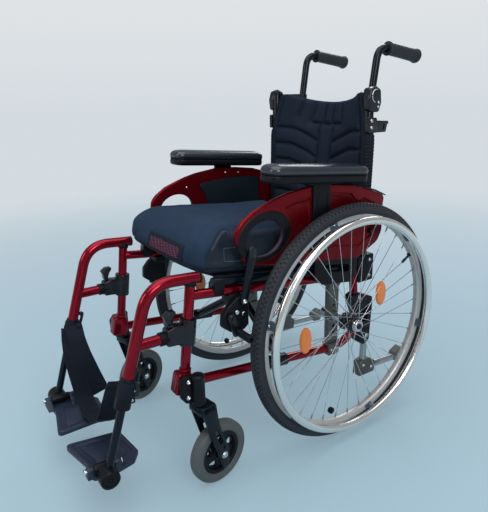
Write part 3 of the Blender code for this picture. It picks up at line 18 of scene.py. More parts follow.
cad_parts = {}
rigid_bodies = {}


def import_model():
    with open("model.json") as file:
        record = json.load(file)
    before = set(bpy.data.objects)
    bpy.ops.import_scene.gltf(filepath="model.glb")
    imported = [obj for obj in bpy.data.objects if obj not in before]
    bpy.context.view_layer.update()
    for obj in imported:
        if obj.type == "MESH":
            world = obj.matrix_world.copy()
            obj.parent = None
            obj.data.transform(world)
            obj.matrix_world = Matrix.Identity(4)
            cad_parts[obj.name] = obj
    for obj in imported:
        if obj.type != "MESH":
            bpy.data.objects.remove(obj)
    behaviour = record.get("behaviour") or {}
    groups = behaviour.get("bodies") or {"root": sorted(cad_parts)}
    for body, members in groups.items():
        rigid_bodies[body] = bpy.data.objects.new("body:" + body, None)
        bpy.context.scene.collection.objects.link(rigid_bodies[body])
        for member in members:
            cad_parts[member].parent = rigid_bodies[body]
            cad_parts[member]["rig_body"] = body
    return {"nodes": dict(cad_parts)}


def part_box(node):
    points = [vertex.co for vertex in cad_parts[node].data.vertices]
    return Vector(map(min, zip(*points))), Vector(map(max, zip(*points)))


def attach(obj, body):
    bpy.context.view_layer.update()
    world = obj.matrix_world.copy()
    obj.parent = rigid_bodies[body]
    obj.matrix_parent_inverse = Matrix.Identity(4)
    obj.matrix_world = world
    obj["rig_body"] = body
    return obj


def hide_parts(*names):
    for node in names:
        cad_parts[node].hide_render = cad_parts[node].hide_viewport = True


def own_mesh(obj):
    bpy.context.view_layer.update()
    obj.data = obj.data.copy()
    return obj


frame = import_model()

for leftover in list(bpy.data.objects):
    if "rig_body" not in leftover and not leftover.name.startswith("body:"):
        bpy.data.objects.remove(leftover)
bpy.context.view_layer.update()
tyre_low, tyre_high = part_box("rear_tyre_left")
AXLE_Y = (tyre_low.y + tyre_high.y) / 2
TO_ROW = Matrix.Translation((0, AXLE_Y, 0))
print(f"frame of {len(frame['nodes'])} nodes, rear axle at y = {AXLE_Y:.4f}")

# %% [markdown]
# ## The camera
# The photograph was taken from the chair's front left, a little above the arm pads. Its place,
# angles and lens were worked out from the wheels and the parallel tubes, so they are written here
# as numbers: three angles and one focal length in pixels of the 488 by 512 frame.

# %% Camera
EYE = Vector((1.0573, -0.87771, 0.8557))
YAW, PITCH, ROLL = radians(-54.836), radians(17.243), radians(-1.23)
FOCAL_PIXELS, TALL_PIXELS = 506.17, 512
SHIFT_PIXELS = (-5.96, -2.34)
SENSOR_MM = 36


def aim(yaw, pitch, roll):
    """The camera's right, up and back directions."""
    ahead = Vector((sin(yaw) * cos(pitch), cos(yaw) * cos(pitch), -sin(pitch)))
    level = Vector((cos(yaw), -sin(yaw), 0))
    upright = level.cross(ahead)
    right = level * cos(roll) + upright * sin(roll)
    up = upright * cos(roll) - level * sin(roll)
    return Matrix((right, up, -ahead)).transposed().to_4x4()


camera_data = bpy.data.cameras.new("studio_camera")
camera_data.sensor_width = SENSOR_MM
camera_data.lens = SENSOR_MM * FOCAL_PIXELS / TALL_PIXELS
camera_data.shift_x = SHIFT_PIXELS[0] / TALL_PIXELS
camera_data.shift_y = SHIFT_PIXELS[1] / TALL_PIXELS
camera = bpy.data.objects.new("studio_camera", camera_data)
camera.matrix_world = TO_ROW @ Matrix.Translation(EYE) @ aim(YAW, PITCH, ROLL)
bpy.context.scene.collection.objects.link(camera)
bpy.context.scene.camera = camera
print(f"lens {camera_data.lens:.2f} mm")

# %% [markdown]
# ## Node helpers
# A material is a small graph. These helpers add a node, feed its inputs with plain values or with
# other nodes, and bring a varying value into a range.

# %% Nodes
def feed(tree, socket, value):
    """Joins an input to another node's output, or gives it a plain value."""
    if isinstance(value, bpy.types.NodeSocket):
        tree.links.new(value, socket)
    else:
        socket.default_value = value


def add_node(tree, kind, settings=None, **inputs):
    """A node of the kind, its properties set, its inputs given a number, a colour or a socket."""
    made = tree.nodes.new(kind)
    for key, value in (settings or {}).items():
        setattr(made, key, value)
    for key, value in inputs.items():
        wanted = key.replace("_", " ")
        feed(tree, next(s for s in made.inputs if wanted in (s.name, s.identifier) and s.enabled), value)
    return made


def worked_out(tree, operation, *values, kind="ShaderNodeMath"):
    """The result of one arithmetic step on plain values and sockets."""
    made = add_node(tree, kind, {"operation": operation})
    for socket, value in zip(made.inputs, values):
        feed(tree, socket, value)
    return made.outputs["Value"]


def mix_colors(tree, share, dark, light):
    made = add_node(tree, "ShaderNodeMix", {"data_type": "RGBA"})
    for index, value in ((0, share), (6, dark), (7, light)):
        feed(tree, made.inputs[index], (*value, 1) if isinstance(value, tuple) else value)
    return made.outputs[2]


def spread(tree, value, low, high, start=0.3, end=0.7):
    """A varying value brought into a range."""
    limits = {"From_Min": start, "From_Max": end, "To_Min": low, "To_Max": high}
    return add_node(tree, "ShaderNodeMapRange", None, Value=value, **limits).outputs[0]


# %% [markdown]
# ## Effects that several finishes share
# Four groups: `unevenness` is the cloudy change of tone that handling leaves; `grain` is the fine
# pebble of moulded plastic and rubber; `knit` is the open mesh of sports fabric; `webbing_rib` is
# the cross rib of woven tape. The finishes decide how deep each of them goes.

# %% Shared effects
def start_group(name, size, *labels):
    """A group with one input, the size of its pattern, and an output for each label."""
    group = bpy.data.node_groups.new(name, "ShaderNodeTree")
    socket = group.interface.new_socket("Size", in_out="INPUT", socket_type="NodeSocketFloat")
    socket.default_value = size
    for label in labels:
        group.interface.new_socket(label, in_out="OUTPUT", socket_type="NodeSocketFloat")
    place = add_node(group, "ShaderNodeTexCoord").outputs["Object"]
    given = group.nodes.new("NodeGroupInput").outputs[0]
    return group, place, given, group.nodes.new("NodeGroupOutput").inputs


def make_unevenness():
    group, place, size, results = start_group("unevenness", 14.0, "Broad", "Fine")
    fine_size = worked_out(group, "MULTIPLY", size, 11.0)
    for result, scale, detail in ((results[0], size, 4.0), (results[1], fine_size, 5.0)):
        clouds = add_node(group, "ShaderNodeTexNoise", None, Vector=place, Scale=scale, Detail=detail)
        feed(group, result, clouds.outputs["Fac"])
    return group


def make_grain():
    group, place, size, results = start_group("grain", 900.0, "Height")
    cells = add_node(group, "ShaderNodeTexVoronoi", {"feature": "SMOOTH_F1"}, Vector=place, Scale=size)
    feed(group, results[0], cells.outputs["Distance"])
    return group


def make_knit():
    """Rows of small round holes: the product of two slanted sine waves, so it follows any side."""
    group, place, size, results = start_group("knit", 2400.0, "Height")
    waves = []
    for turn in ((1.0, 0.55, 0.8), (-0.6, 1.0, 0.7)):
        along = worked_out(group, "DOT_PRODUCT", place, turn, kind="ShaderNodeVectorMath")
        waves.append(worked_out(group, "SINE", worked_out(group, "MULTIPLY", along, size)))
    product = worked_out(group, "MULTIPLY", *waves)
    feed(group, results[0], worked_out(group, "MULTIPLY_ADD", product, 0.5, 0.5))
    return group


def make_webbing_rib():
    group, place, size, results = start_group("webbing_rib", 180.0, "Height")
    bands = {"bands_direction": "DIAGONAL"}
    rib = add_node(group, "ShaderNodeTexWave", bands, Vector=place, Scale=size, Distortion=0.4)
    feed(group, results[0], rib.outputs["Fac"])
    return group


UNEVENNESS = make_unevenness()
GRAIN = make_grain()
KNIT = make_knit()
WEBBING_RIB = make_webbing_rib()

# %% [markdown]
# ## The finishes
# Every finish starts the same way: a tone that drifts between two close colours, a roughness that
# drifts with it, and a relief. The numbers that stay the same all over a surface, such as the
# lacquer over the red paint, are set on the shader itself.

# %% Base finish
FINISH = {}
RELIEF_DEPTH = 0.0006


def place_group(tree, group, size):
    return add_node(tree, "ShaderNodeGroup", {"node_tree": group}, Size=size)


def finish(
    name, slot, dark, light, roughness, metallic=0.0, relief=None, bump=0.1, size=14.0, drift=0.08, **plain
):
    """A material from two tones, a roughness and one of the shared reliefs, kept under its name."""
    material = bpy.data.materials.new(name)
    material.use_nodes = True
    material.diffuse_color = (*light, 1)
    tree = material.node_tree
    tone = place_group(tree, UNEVENNESS, size)
    height = place_group(tree, *relief).outputs["Height"] if relief else tone.outputs["Fine"]
    raised = add_node(tree, "ShaderNodeBump", None, Strength=bump, Distance=RELIEF_DEPTH, Height=height)
    least, most = max(0.02, roughness - drift), min(1.0, roughness + drift)
    settings = {
        "Base_Color": mix_colors(tree, tone.outputs["Broad"], dark, light),
        "Roughness": spread(tree, tone.outputs["Fine"], least, most),
        "Metallic": metallic, "Normal": raised.outputs[0], **plain,
    }
    for key, value in settings.items():
        feed(tree, tree.nodes["Principled BSDF"].inputs[key.replace("_", " ")], value)
    FINISH[name] = (material, slot)
    return material


# %% [markdown]
# The frame's candy red is a clear red lacquer over bright flake. The flake is a small Voronoi
# pattern that lifts the tone of single grains, and the lacquer is the shader's own coat. The side
# guards are sprayed with a darker, duller red.

# %% Frame paint
FLAKE_SIZE = 2600.0


def add_flake(material, light):
    tree = material.node_tree
    base = tree.nodes["Principled BSDF"].inputs["Base Color"]
    place = add_node(tree, "ShaderNodeTexCoord").outputs["Object"]
    flake = add_node(tree, "ShaderNodeTexVoronoi", None, Vector=place, Scale=FLAKE_SIZE)
    grains = add_node(tree, "ShaderNodeSeparateColor", None, Color=flake.outputs["Color"])
    share = spread(tree, grains.outputs[0], 0.0, 0.45, 0.55, 1.0)
    feed(tree, base, mix_colors(tree, share, base.links[0].from_socket, light))


candy_red = finish(
    "candy_red", "red", (0.165, 0.0008, 0.008), (0.265, 0.0022, 0.016), 0.19, 0.8, drift=0.04,
    Coat_Weight=0.2, Coat_Roughness=0.03, Specular_IOR_Level=0.25,
)
add_flake(candy_red, (0.41, 0.006, 0.026))
guard_red = finish(
    "guard_red", "red", (0.11, 0.0009, 0.004), (0.16, 0.0018, 0.007), 0.33, 0.6, drift=0.05,
    Coat_Weight=0.07, Coat_Roughness=0.08, Specular_IOR_Level=0.15,
)
add_flake(guard_red, (0.22, 0.0035, 0.011))

# %% [markdown]
# Plastics, powder coat, metals and rubbers differ in tone, gloss and in the size of their grain.

# %% Hard finishes
finish("moulded_black", "black", (0.0018, 0.0026, 0.0044), (0.0046, 0.0058, 0.009), 0.42,
       relief=(GRAIN, 1100.0), bump=0.12, Specular_IOR_Level=0.18)
finish("smooth_black", "black", (0.0026, 0.0038, 0.0066), (0.006, 0.008, 0.0125), 0.24, drift=0.07,
       Specular_IOR_Level=0.4)
finish("powder_black", "black_metal", (0.0016, 0.0038, 0.008), (0.0036, 0.0074, 0.014), 0.22, drift=0.03,
       bump=0.01, Specular_IOR_Level=0.22)
finish("bright_steel", "steel", (0.5, 0.51, 0.53), (0.66, 0.66, 0.67), 0.15, 1.0, bump=0.02, drift=0.05)
finish("polished_handrim", "steel", (0.76, 0.75, 0.72), (0.9, 0.88, 0.84), 0.2, 1.0,
       bump=0.015, drift=0.04)
finish("satin_alloy", "alloy", (0.34, 0.36, 0.38), (0.46, 0.48, 0.5), 0.33, 1.0, bump=0.05, drift=0.07)
finish("rim_alloy", "steel", (0.47, 0.465, 0.46), (0.6, 0.595, 0.585), 0.34, 0.45, bump=0.03, drift=0.06)
finish("casting_grey", "alloy", (0.085, 0.088, 0.084), (0.122, 0.124, 0.118), 0.42, 0.5, bump=0.05)
finish("grey_rubber", "rubber", (0.12, 0.12, 0.112), (0.17, 0.17, 0.16), 0.6,
       relief=(GRAIN, 600.0), bump=0.15)
finish("tab_grey", "steel", (0.09, 0.13, 0.18), (0.15, 0.2, 0.26), 0.36, 0.6, bump=0.04)
finish("black_tyre", "tyre", (0.011, 0.014, 0.02), (0.024, 0.029, 0.038), 0.6,
       relief=(GRAIN, 800.0), bump=0.22, Specular_IOR_Level=0.35)
finish("grey_tyre", "grey_tyre", (0.06, 0.07, 0.072), (0.092, 0.103, 0.104), 0.58,
       relief=(GRAIN, 600.0), bump=0.15)
finish("grip_rubber", "rubber", (0.008, 0.0105, 0.0145), (0.017, 0.021, 0.027), 0.5,
       relief=(GRAIN, 500.0), bump=0.25, Specular_IOR_Level=0.35)
finish("footplate_grey", "black", (0.0095, 0.016, 0.036), (0.019, 0.029, 0.058), 0.44,
       relief=(GRAIN, 900.0), bump=0.2, Specular_IOR_Level=0.36)
finish("arm_pad_skin", "pad", (0.0075, 0.0125, 0.0205), (0.0145, 0.0225, 0.035), 0.24,
       relief=(GRAIN, 900.0), bump=0.04, drift=0.04, Specular_IOR_Level=0.7)
finish("reflector_orange", "steel", (0.6, 0.13, 0.004), (0.9, 0.27, 0.015), 0.2, bump=0.1,
       Coat_Weight=0.8, Coat_Roughness=0.08)
print(f"{len(FINISH)} hard finishes")

# %% [markdown]
# Cloth is rough and shows its knit or weave. The cushion's top is an open navy mesh, its side a
# smooth coated panel, and the back is a close black knit.

# %% Soft finishes
finish("mesh_navy", "fabric", (0.0115, 0.0245, 0.049), (0.0225, 0.042, 0.08), 0.8,
       relief=(KNIT, 2400.0), bump=0.45, size=9.0, Specular_IOR_Level=0.1)
finish("back_knit", "fabric", (0.007, 0.0125, 0.0245), (0.0135, 0.022, 0.0385), 0.8,
       relief=(KNIT, 3400.0), bump=0.35, size=9.0, Specular_IOR_Level=0.12)
finish("coated_navy", "fabric", (0.0058, 0.0115, 0.0205), (0.011, 0.0195, 0.033), 0.38,
       relief=(GRAIN, 900.0), bump=0.12, size=9.0, Specular_IOR_Level=0.26)
finish("inner_panel", "fabric", (0.0032, 0.0085, 0.013), (0.006, 0.013, 0.019), 0.5,
       relief=(GRAIN, 900.0), bump=0.12, Specular_IOR_Level=0.25)
finish("webbing_black", "fabric", (0.0034, 0.0055, 0.012), (0.009, 0.0135, 0.026), 0.72,
       relief=(WEBBING_RIB, 180.0), bump=0.5, Specular_IOR_Level=0.2)
finish("seam_thread", "fabric", (0.003, 0.004, 0.006), (0.008, 0.0095, 0.014), 0.8,
       bump=0.3, size=200.0, Specular_IOR_Level=0.25)
finish("purple_thread", "fabric", (0.12, 0.025, 0.055), (0.23, 0.06, 0.11), 0.6, bump=0.4, size=200.0,
       Specular_IOR_Level=0.25)
print(f"{len(FINISH)} finishes in all")

# %% [markdown]
# ## The studio
# A pale floor that keeps the chair's shadow, large soft lamps above and to both sides, and a pale
# background that turns from almost white to a light blue grey, as a paper backdrop does. The floor
# also glows with its own colour: half of it near the chair, which lightens the chair's shadow as
# painted light, and all of it far out, where it melts into the backdrop.

# %% Studio
FLOOR_NEAR, FLOOR_MIDDLE = (0.355, 0.505, 0.59), (0.455, 0.585, 0.665)
HORIZON, SKY = (0.66, 0.71, 0.75), (0.79, 0.8, 0.81)
LAMP_AIM = Vector((0, 0, 0.45))


def color_ramp(tree, share, near, far):
    ramp = add_node(tree, "ShaderNodeValToRGB", None, Fac=share)
    ramp.color_ramp.elements[0].color = (*near, 1)
    ramp.color_ramp.elements[1].color = (*far, 1)
    return ramp


def mix_shaders(tree, share, first, second, output):
    either = add_node(tree, "ShaderNodeMixShader")
    for socket, value in zip(either.inputs, (share, first, second)):
        tree.links.new(value, socket)
    tree.links.new(either.outputs[0], output.inputs["Surface"])


def make_floor():
    bm = bmesh.new()
    bmesh.ops.create_circle(bm, cap_ends=True, segments=96, radius=40)
    mesh = bpy.data.meshes.new("studio_floor")
    bm.to_mesh(mesh)
    bm.free()
    floor = bpy.data.objects.new("studio_floor", mesh)
    bpy.context.scene.collection.objects.link(floor)
    material = bpy.data.materials.new("backdrop_paper")
    material.use_nodes = True
    tree = material.node_tree
    place = add_node(tree, "ShaderNodeTexCoord").outputs["Object"]
    away = worked_out(tree, "LENGTH", place, kind="ShaderNodeVectorMath")
    ramp = color_ramp(tree, spread(tree, away, 0.0, 1.0, 0.3, 3.9), FLOOR_NEAR, HORIZON)
    ramp.color_ramp.elements.new(0.34).color = (*FLOOR_MIDDLE, 1)
    shader = tree.nodes["Principled BSDF"]
    tree.links.new(ramp.outputs["Color"], shader.inputs["Base Color"])
    shader.inputs["Roughness"].default_value = 0.9
    shader.inputs["Specular IOR Level"].default_value = 0.1
    # The floor glows in its own colour, half near the chair and fully beyond 3.2 m: painted light that
    # lightens the chair's shadow and blends the floor into the backdrop.
    floor_glow = add_node(tree, "ShaderNodeEmission", None, Color=ramp.outputs["Color"], Strength=1.0)
    share = spread(tree, away, 0.5, 1.0, 0.8, 3.2)
    mix_shaders(tree, share, shader.outputs[0], floor_glow.outputs[0], tree.nodes["Material Output"])
    mesh.materials.append(material)


def make_world():
    """The camera sees the backdrop's ramp, and the chair is lit by an even, paler air."""
    world = bpy.data.worlds.new("studio_air")
    world.use_nodes = True
    bpy.context.scene.world = world
    tree = world.node_tree
    tree.nodes.clear()
    place = add_node(tree, "ShaderNodeTexCoord").outputs["Generated"]
    height = add_node(tree, "ShaderNodeSeparateXYZ", None, Vector=place).outputs["Z"]
    ramp = color_ramp(tree, spread(tree, height, 0.0, 1.0, -0.02, 0.25), HORIZON, SKY)
    seen = add_node(tree, "ShaderNodeBackground", None, Color=ramp.outputs["Color"], Strength=1.0)
    lit = add_node(tree, "ShaderNodeBackground", None, Color=(0.93, 0.96, 1.0, 1), Strength=0.38)
    path = add_node(tree, "ShaderNodeLightPath").outputs["Is Camera Ray"]
    mix_shaders(tree, path, lit.outputs[0], seen.outputs[0], add_node(tree, "ShaderNodeOutputWorld"))


def soft_lamp(name, place, size, power, color=(1, 1, 1)):
    """A square area lamp that faces the middle of the chair."""
    data = bpy.data.lights.new(name, "AREA")
    data.size = size
    data.energy = power
    data.color = color
    lamp = bpy.data.objects.new(name, data)
    lamp.location = place
    lamp.rotation_euler = (LAMP_AIM - Vector(place)).to_track_quat("-Z", "Y").to_euler()
    bpy.context.scene.collection.objects.link(lamp)


make_floor()
make_world()
soft_lamp("overhead_lamp", (0.3, -0.3, 3.0), 3.2, 62, (0.97, 0.985, 1.0))
soft_lamp("left_lamp", (2.6, -0.6, 1.9), 1.1, 25)
soft_lamp("front_lamp", (-0.6, -3.0, 2.0), 1.2, 18, (1.0, 0.97, 0.94))
soft_lamp("rear_lamp", (-1.6, 2.6, 2.2), 1.4, 22, (0.93, 0.97, 1.0))
bpy.context.scene.view_settings.view_transform = "Standard"

# %% [markdown]
# ## Shape helpers
# A few operators make almost every part of a wheelchair. A bent tube is a ring extruded along its
# path, a wheel or a cap is a profile spun about its axle, and a plate or a casting is an outline
# pulled through its thickness with its rims rounded.

# %% Shapes
def object_of(bm):
    mesh = bpy.data.meshes.new("shape")
    bm.to_mesh(mesh)
    bm.free()
    piece = bpy.data.objects.new("shape", mesh)
    bpy.context.scene.collection.objects.link(piece)
    return piece


def shape_from(bm):
    """An object that holds the bmesh, its doubles merged and its faces turned outwards."""
    bmesh.ops.remove_doubles(bm, verts=bm.verts, dist=1e-6)
    bmesh.ops.recalc_face_normals(bm, faces=bm.faces)
    return object_of(bm)


def placed(piece, matrix):
    piece.data.transform(matrix)
    if matrix.determinant() < 0:
        piece.data.flip_normals()
    return piece


def copy_of(piece, matrix):
    twin = piece.copy()
    twin.data = piece.data.copy()
    bpy.context.scene.collection.objects.link(twin)
    return placed(twin, matrix)


def joined(*pieces):
    """Several closed bodies kept as one object."""
    bm = bmesh.new()
    for piece in pieces:
        bm.from_mesh(piece.data)
        bpy.data.objects.remove(piece)
    return object_of(bm)


def settled(piece):
    """The object with its modifiers applied."""
    graph = bpy.context.evaluated_depsgraph_get()
    mesh = bpy.data.meshes.new_from_object(piece.evaluated_get(graph))
    piece.modifiers.clear()
    piece.data = mesh
    return piece


def combined(piece, others, operation):
    for other in others:
        step = piece.modifiers.new(operation, "BOOLEAN")
        step.operation = operation
        step.object = other
    settled(piece)
    for other in others:
        bpy.data.objects.remove(other)
    return piece


def fused(piece, *others):
    return combined(piece, others, "UNION")


def cut(piece, *others):
    return combined(piece, others, "DIFFERENCE")


def eased(piece, width, segments=2, angle=32):
    """Rounds the edges that are sharper than the angle."""
    step = piece.modifiers.new("eased", "BEVEL")
    step.width = width
    step.segments = segments
    step.limit_method = "ANGLE"
    step.angle_limit = radians(angle)
    return settled(piece)


def arc_corners(corners, radius, steps, closed=False):
    """The corners of a path or an outline, each rounded to the radius."""
    points = []
    count = len(corners)
    for index, corner in enumerate(corners):
        corner = Vector(corner)
        if not closed and index in (0, count - 1):
            points.append(corner)
            continue
        back = Vector(corners[index - 1]) - corner
        ahead = Vector(corners[(index + 1) % count]) - corner
        half = back.angle(ahead) / 2
        reach = min(radius / tan(half), 0.48 * back.length, 0.48 * ahead.length)
        start = corner + back.normalized() * reach
        end = corner + ahead.normalized() * reach
        for step in range(steps + 1):
            share = step / steps
            points.append(start.lerp(corner, share).lerp(corner.lerp(end, share), share))
    return points


def rounded(corners, radius, steps=5):
    return arc_corners([Vector(corner) for corner in corners], radius, steps, closed=True)


def new_faces_of(made, kind):
    return [item for item in made["geom"] if isinstance(item, kind)]


def rounded_edges(bm, edges, width, segments):
    bmesh.ops.bevel(
        bm, geom=edges, offset=width, affect="EDGES", segments=segments, profile=0.5, material=-1,
    )


def sweep(path, radius, sides=24, closed=False, flat=1.0):
    """A ring extruded from point to point of a path. Its radius may change from point to point."""
    path = [Vector(point) for point in path]
    count = len(path)
    radii = list(radius) if hasattr(radius, "__len__") else [radius] * count
    places = []
    before = turn = None
    for index, point in enumerate(path):
        ahead = path[(index + 1) % count] if closed or index < count - 1 else point
        behind = path[index - 1] if closed or index else point
        along = (ahead - behind).normalized()
        turn = along.to_track_quat("Z", "Y") if turn is None else before.rotation_difference(along) @ turn
        before = along
        size = Matrix.Diagonal((radii[index], radii[index] * flat, 1, 1))
        places.append(Matrix.Translation(point) @ turn.to_matrix().to_4x4() @ size)
    bm = bmesh.new()
    bmesh.ops.create_circle(bm, segments=sides, radius=1, matrix=places[0])
    first = bm.edges[:]
    edges = first
    for last, place in zip(places, places[1:]):
        made = bmesh.ops.extrude_edge_only(bm, edges=edges)
        edges = new_faces_of(made, bmesh.types.BMEdge)
        moved = new_faces_of(made, bmesh.types.BMVert)
        bmesh.ops.transform(bm, verts=moved, matrix=place @ last.inverted())
    if closed:
        bmesh.ops.bridge_loops(bm, edges=first + edges)
    else:
        bmesh.ops.holes_fill(bm, edges=first + edges, sides=0)
    return shape_from(bm)


def rod(start, end, radius, sides=24, end_radius=None, edge=0.0):
    """A straight round bar or cone, its two rims rounded where an edge width is given."""
    start, end = Vector(start), Vector(end)
    along = end - start
    turn = along.to_track_quat("Z", "Y").to_matrix().to_4x4()
    bm = bmesh.new()
    bmesh.ops.create_cone(
        bm, cap_ends=True, segments=sides, radius1=radius, radius2=end_radius or radius,
        depth=along.length, matrix=Matrix.Translation((start + end) / 2) @ turn,
    )
    if edge:
        rounded_edges(bm, [e for e in bm.edges if any(len(f.verts) > 4 for f in e.link_faces)], edge, 2)
    return shape_from(bm)


def spun(profile, steps=48, ring=False):
    """A profile of (radius, along) spun about the X axis."""
    bm = bmesh.new()
    line = [bm.verts.new((along, 0, -radius)) for radius, along in profile]
    edges = [bm.edges.new(pair) for pair in zip(line, line[1:])]
    if ring:
        edges.append(bm.edges.new((line[-1], line[0])))
    bmesh.ops.spin(
        bm, geom=line + edges, cent=(0, 0, 0), axis=(1, 0, 0), angle=2 * pi, steps=steps,
        use_merge=True, use_duplicate=False,
    )
    return shape_from(bm)


def mirrored(profile):
    """The same profile beyond the middle plane, in the opposite order."""
    return [(radius, -along) for radius, along in reversed(profile)]


def slab(outline, low_x, high_x, bevel=0.0, segments=3):
    """An outline of (y, z) points pulled through its thickness along X, its rims rounded."""
    bm = bmesh.new()
    face = bm.faces.new([bm.verts.new((low_x, y, z)) for y, z in outline])
    made = bmesh.ops.extrude_face_region(bm, geom=[face])
    bmesh.ops.translate(bm, verts=new_faces_of(made, bmesh.types.BMVert), vec=(high_x - low_x, 0, 0))
    if bevel:
        rims = [e for e in bm.edges if abs(e.verts[0].co.x - e.verts[1].co.x) < 1e-7]
        rounded_edges(bm, rims, bevel, segments)
    return shape_from(bm)


def plate(corners, radius, steps, low_x, high_x, bevel=0.0, segments=3):
    """A slab whose corners are rounded to the radius."""
    return slab(rounded(corners, radius, steps), low_x, high_x, bevel, segments)


TO_PLAN = Matrix(((0, 1, 0, 0), (0, 0, 1, 0), (1, 0, 0, 0), (0, 0, 0, 1)))


def plan_slab(outline, low_z, high_z, bevel=0.0, segments=3):
    """A slab from an outline of (x, y) points, thick along Z."""
    return placed(slab(outline, low_z, high_z, bevel, segments), TO_PLAN)


def block(low, high, bevel=0.001, segments=2):
    low, high = Vector(low), Vector(high)
    bm = bmesh.new()
    size = Matrix.Diagonal((*(high - low), 1))
    bmesh.ops.create_cube(bm, size=1, matrix=Matrix.Translation((low + high) / 2) @ size)
    rounded_edges(bm, bm.edges[:], bevel, segments)
    return shape_from(bm)


def oval(centre, sizes, turn=0.0, steps=48):
    points = []
    for step in range(steps):
        angle = 2 * pi * step / steps
        along, across = sizes[0] * cos(angle), sizes[1] * sin(angle)
        points.append((
            centre[0] + along * cos(turn) - across * sin(turn),
            centre[1] + along * sin(turn) + across * cos(turn),
        ))
    return points


# %% [markdown]
# A finished shape is carried into the chair's frame, named, given its finish and tied to the body it
# moves with. `pair` does that for the left side and for its mirror image on the right.

# %% Dressing
def dress(piece, name, body, finish_name, nodes=(), sharp=35):
    placed(piece, TO_ROW)
    piece.name = name
    piece.data.name = name
    material, slot = FINISH[finish_name]
    piece.data.materials.clear()
    piece.data.materials.append(material)
    piece.data.shade_smooth()
    piece.data.set_sharp_from_angle(angle=radians(sharp))
    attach(piece, body)
    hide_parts(*nodes)
    return piece


STAY = (Matrix.Identity(4), Matrix.Identity(4))
FLIP = Matrix.Diagonal((-1, 1, 1, 1))


def pair(piece, name, finish_name, body="frame", node=None, places=STAY, sharp=35):
    """The shape on the left and its mirror image on the right, each moved to its own place."""
    twin = copy_of(piece, FLIP)
    for shape, side, place in ((piece, "left", places[0]), (twin, "right", places[1])):
        nodes = [f"{node}_{side}"] if node else []
        dress(placed(shape, place), f"{name}_{side}", f"{body}_{side}", finish_name, nodes, sharp)


# %% [markdown]
# ## Small hardware
# One dome screw with a hexagon socket is modelled once and copied to every place that has a screw.
# Its head is a spun profile, and the socket is a six-sided bar cut out of it.

# %% Screws
SCREW = cut(
    spun([(0, -0.4), (1.0, -0.4), (1.0, 0.05), (0.93, 0.32), (0.72, 0.52), (0.45, 0.6), (0, 0.6)], 24),
    rod((0.18, 0, 0), (1.2, 0, 0), 0.42, 6),
)
HEX_HEAD = spun([(0, -0.4), (1.0, -0.4), (1.0, 0.45), (0.86, 0.62), (0, 0.62)], 6)
WASHER = spun([(0, -0.2), (1.35, -0.2), (1.35, 0.02), (1.28, 0.08), (0, 0.08)], 24)
OUT, IN = Vector((1, 0, 0)), Vector((-1, 0, 0))


def screw_at(point, direction, radius, head=SCREW):
    """A copy of the head at the point, looking along the direction."""
    turn = direction.to_track_quat("X", "Z").to_matrix().to_4x4()
    return copy_of(head, Matrix.Translation(point) @ turn @ Matrix.Scale(radius, 4))


def screws(x, direction, radius, *spots, head=SCREW):
    """Screws of one size at the (y, z) spots of a flank."""
    return joined(*[screw_at((x, y, z), direction, radius, head) for y, z in spots])


print("shapes, screws and dressing are ready")

# %% [markdown]
# ## Sizes and places
# These are the measures that the CAD source works with, so that each finer piece lands exactly on the
# solid it stands for. y = 0 lies over the rear axle, z = 0 is the floor, and the left side is +X.

# %% Sizes
FRAME_X = 0.18
TUBE = 0.011
TILT = radians(7.2)
FRONT_P = -0.2535
RAIL_Q = 0.1994
SEAT_Q = 0.222
WHEEL_X = 0.242
CAMBER = radians(1.2)
HUB_Z = 0.30418
RIM_R = 0.279
HANDRIM_R = 0.2673
HANDRIM_X = 0.038
CASTER_X = 0.21
CASTER_Y = -0.424
POST_Y = 0.104
HANDLE_X = 0.133


def side_point(p, q, x=FRAME_X):
    """A point of the tilted side frame: p back along the rails, q up across them."""
    return Vector((x, -0.19 + p * cos(TILT) + q * sin(TILT), 0.2325 - p * sin(TILT) + q * cos(TILT)))


def leg_point(z, x=FRAME_X):
    """A point on the line that the hanger's leg and the foot tube share."""
    return Vector((x, -0.5745 + (z - 0.291) * 0.3153, z))


def handle_point(z, x=HANDLE_X):
    """A point on the push handle's straight tube."""
    return Vector((x, 0.163 + (z - 0.847) * 0.1538, z))


def axle_point(along):
    """A point on the cambered axle line, measured outwards from the tyre's middle plane."""
    return Vector((WHEEL_X + along * cos(CAMBER), 0, HUB_Z + along * sin(CAMBER)))


def in_plane(y, z, x=FRAME_X):
    return Vector((x, y, z))


def wheel_spot(radius, angle, along=0.0):
    """A point in the wheel's own frame, its angle measured from the top towards the rear."""
    return Vector((along, radius * sin(angle), radius * cos(angle)))


WHEEL_PLACES = tuple(
    Matrix.Translation((side * WHEEL_X, 0, HUB_Z)) @ Matrix.Rotation(-side * CAMBER, 4, "Y")
    for side in (1, -1)
)
CASTER_PLACES = tuple(
    Matrix.Translation((side * CASTER_X, CASTER_Y, 0)) @ Matrix.Rotation(yaw, 4, "Z")
    for side, yaw in ((1, 0.15), (-1, 0.3))
)
print(f"rear axle {HUB_Z * 1000:.1f} mm above the floor, cambered {CAMBER * 180 / pi:.1f} degrees")

# %% [markdown]
# ## Rear wheels
# The tyre is a round section with a smooth middle and two shoulders of small raised bars. On the real
# tyre they come from the mould. Here the section is spun in many steps, and every second face of each
# shoulder is inset and sunk a little, which leaves the bars standing between the grooves.

# %% Tyre
TREAD_STEPS = 320
TYRE_SECTION = 0.0178
TYRE_MIDDLE = 0.305 - TYRE_SECTION
GROOVE_BANDS = ((radians(19), radians(35), 0), (radians(37), radians(57), 1))


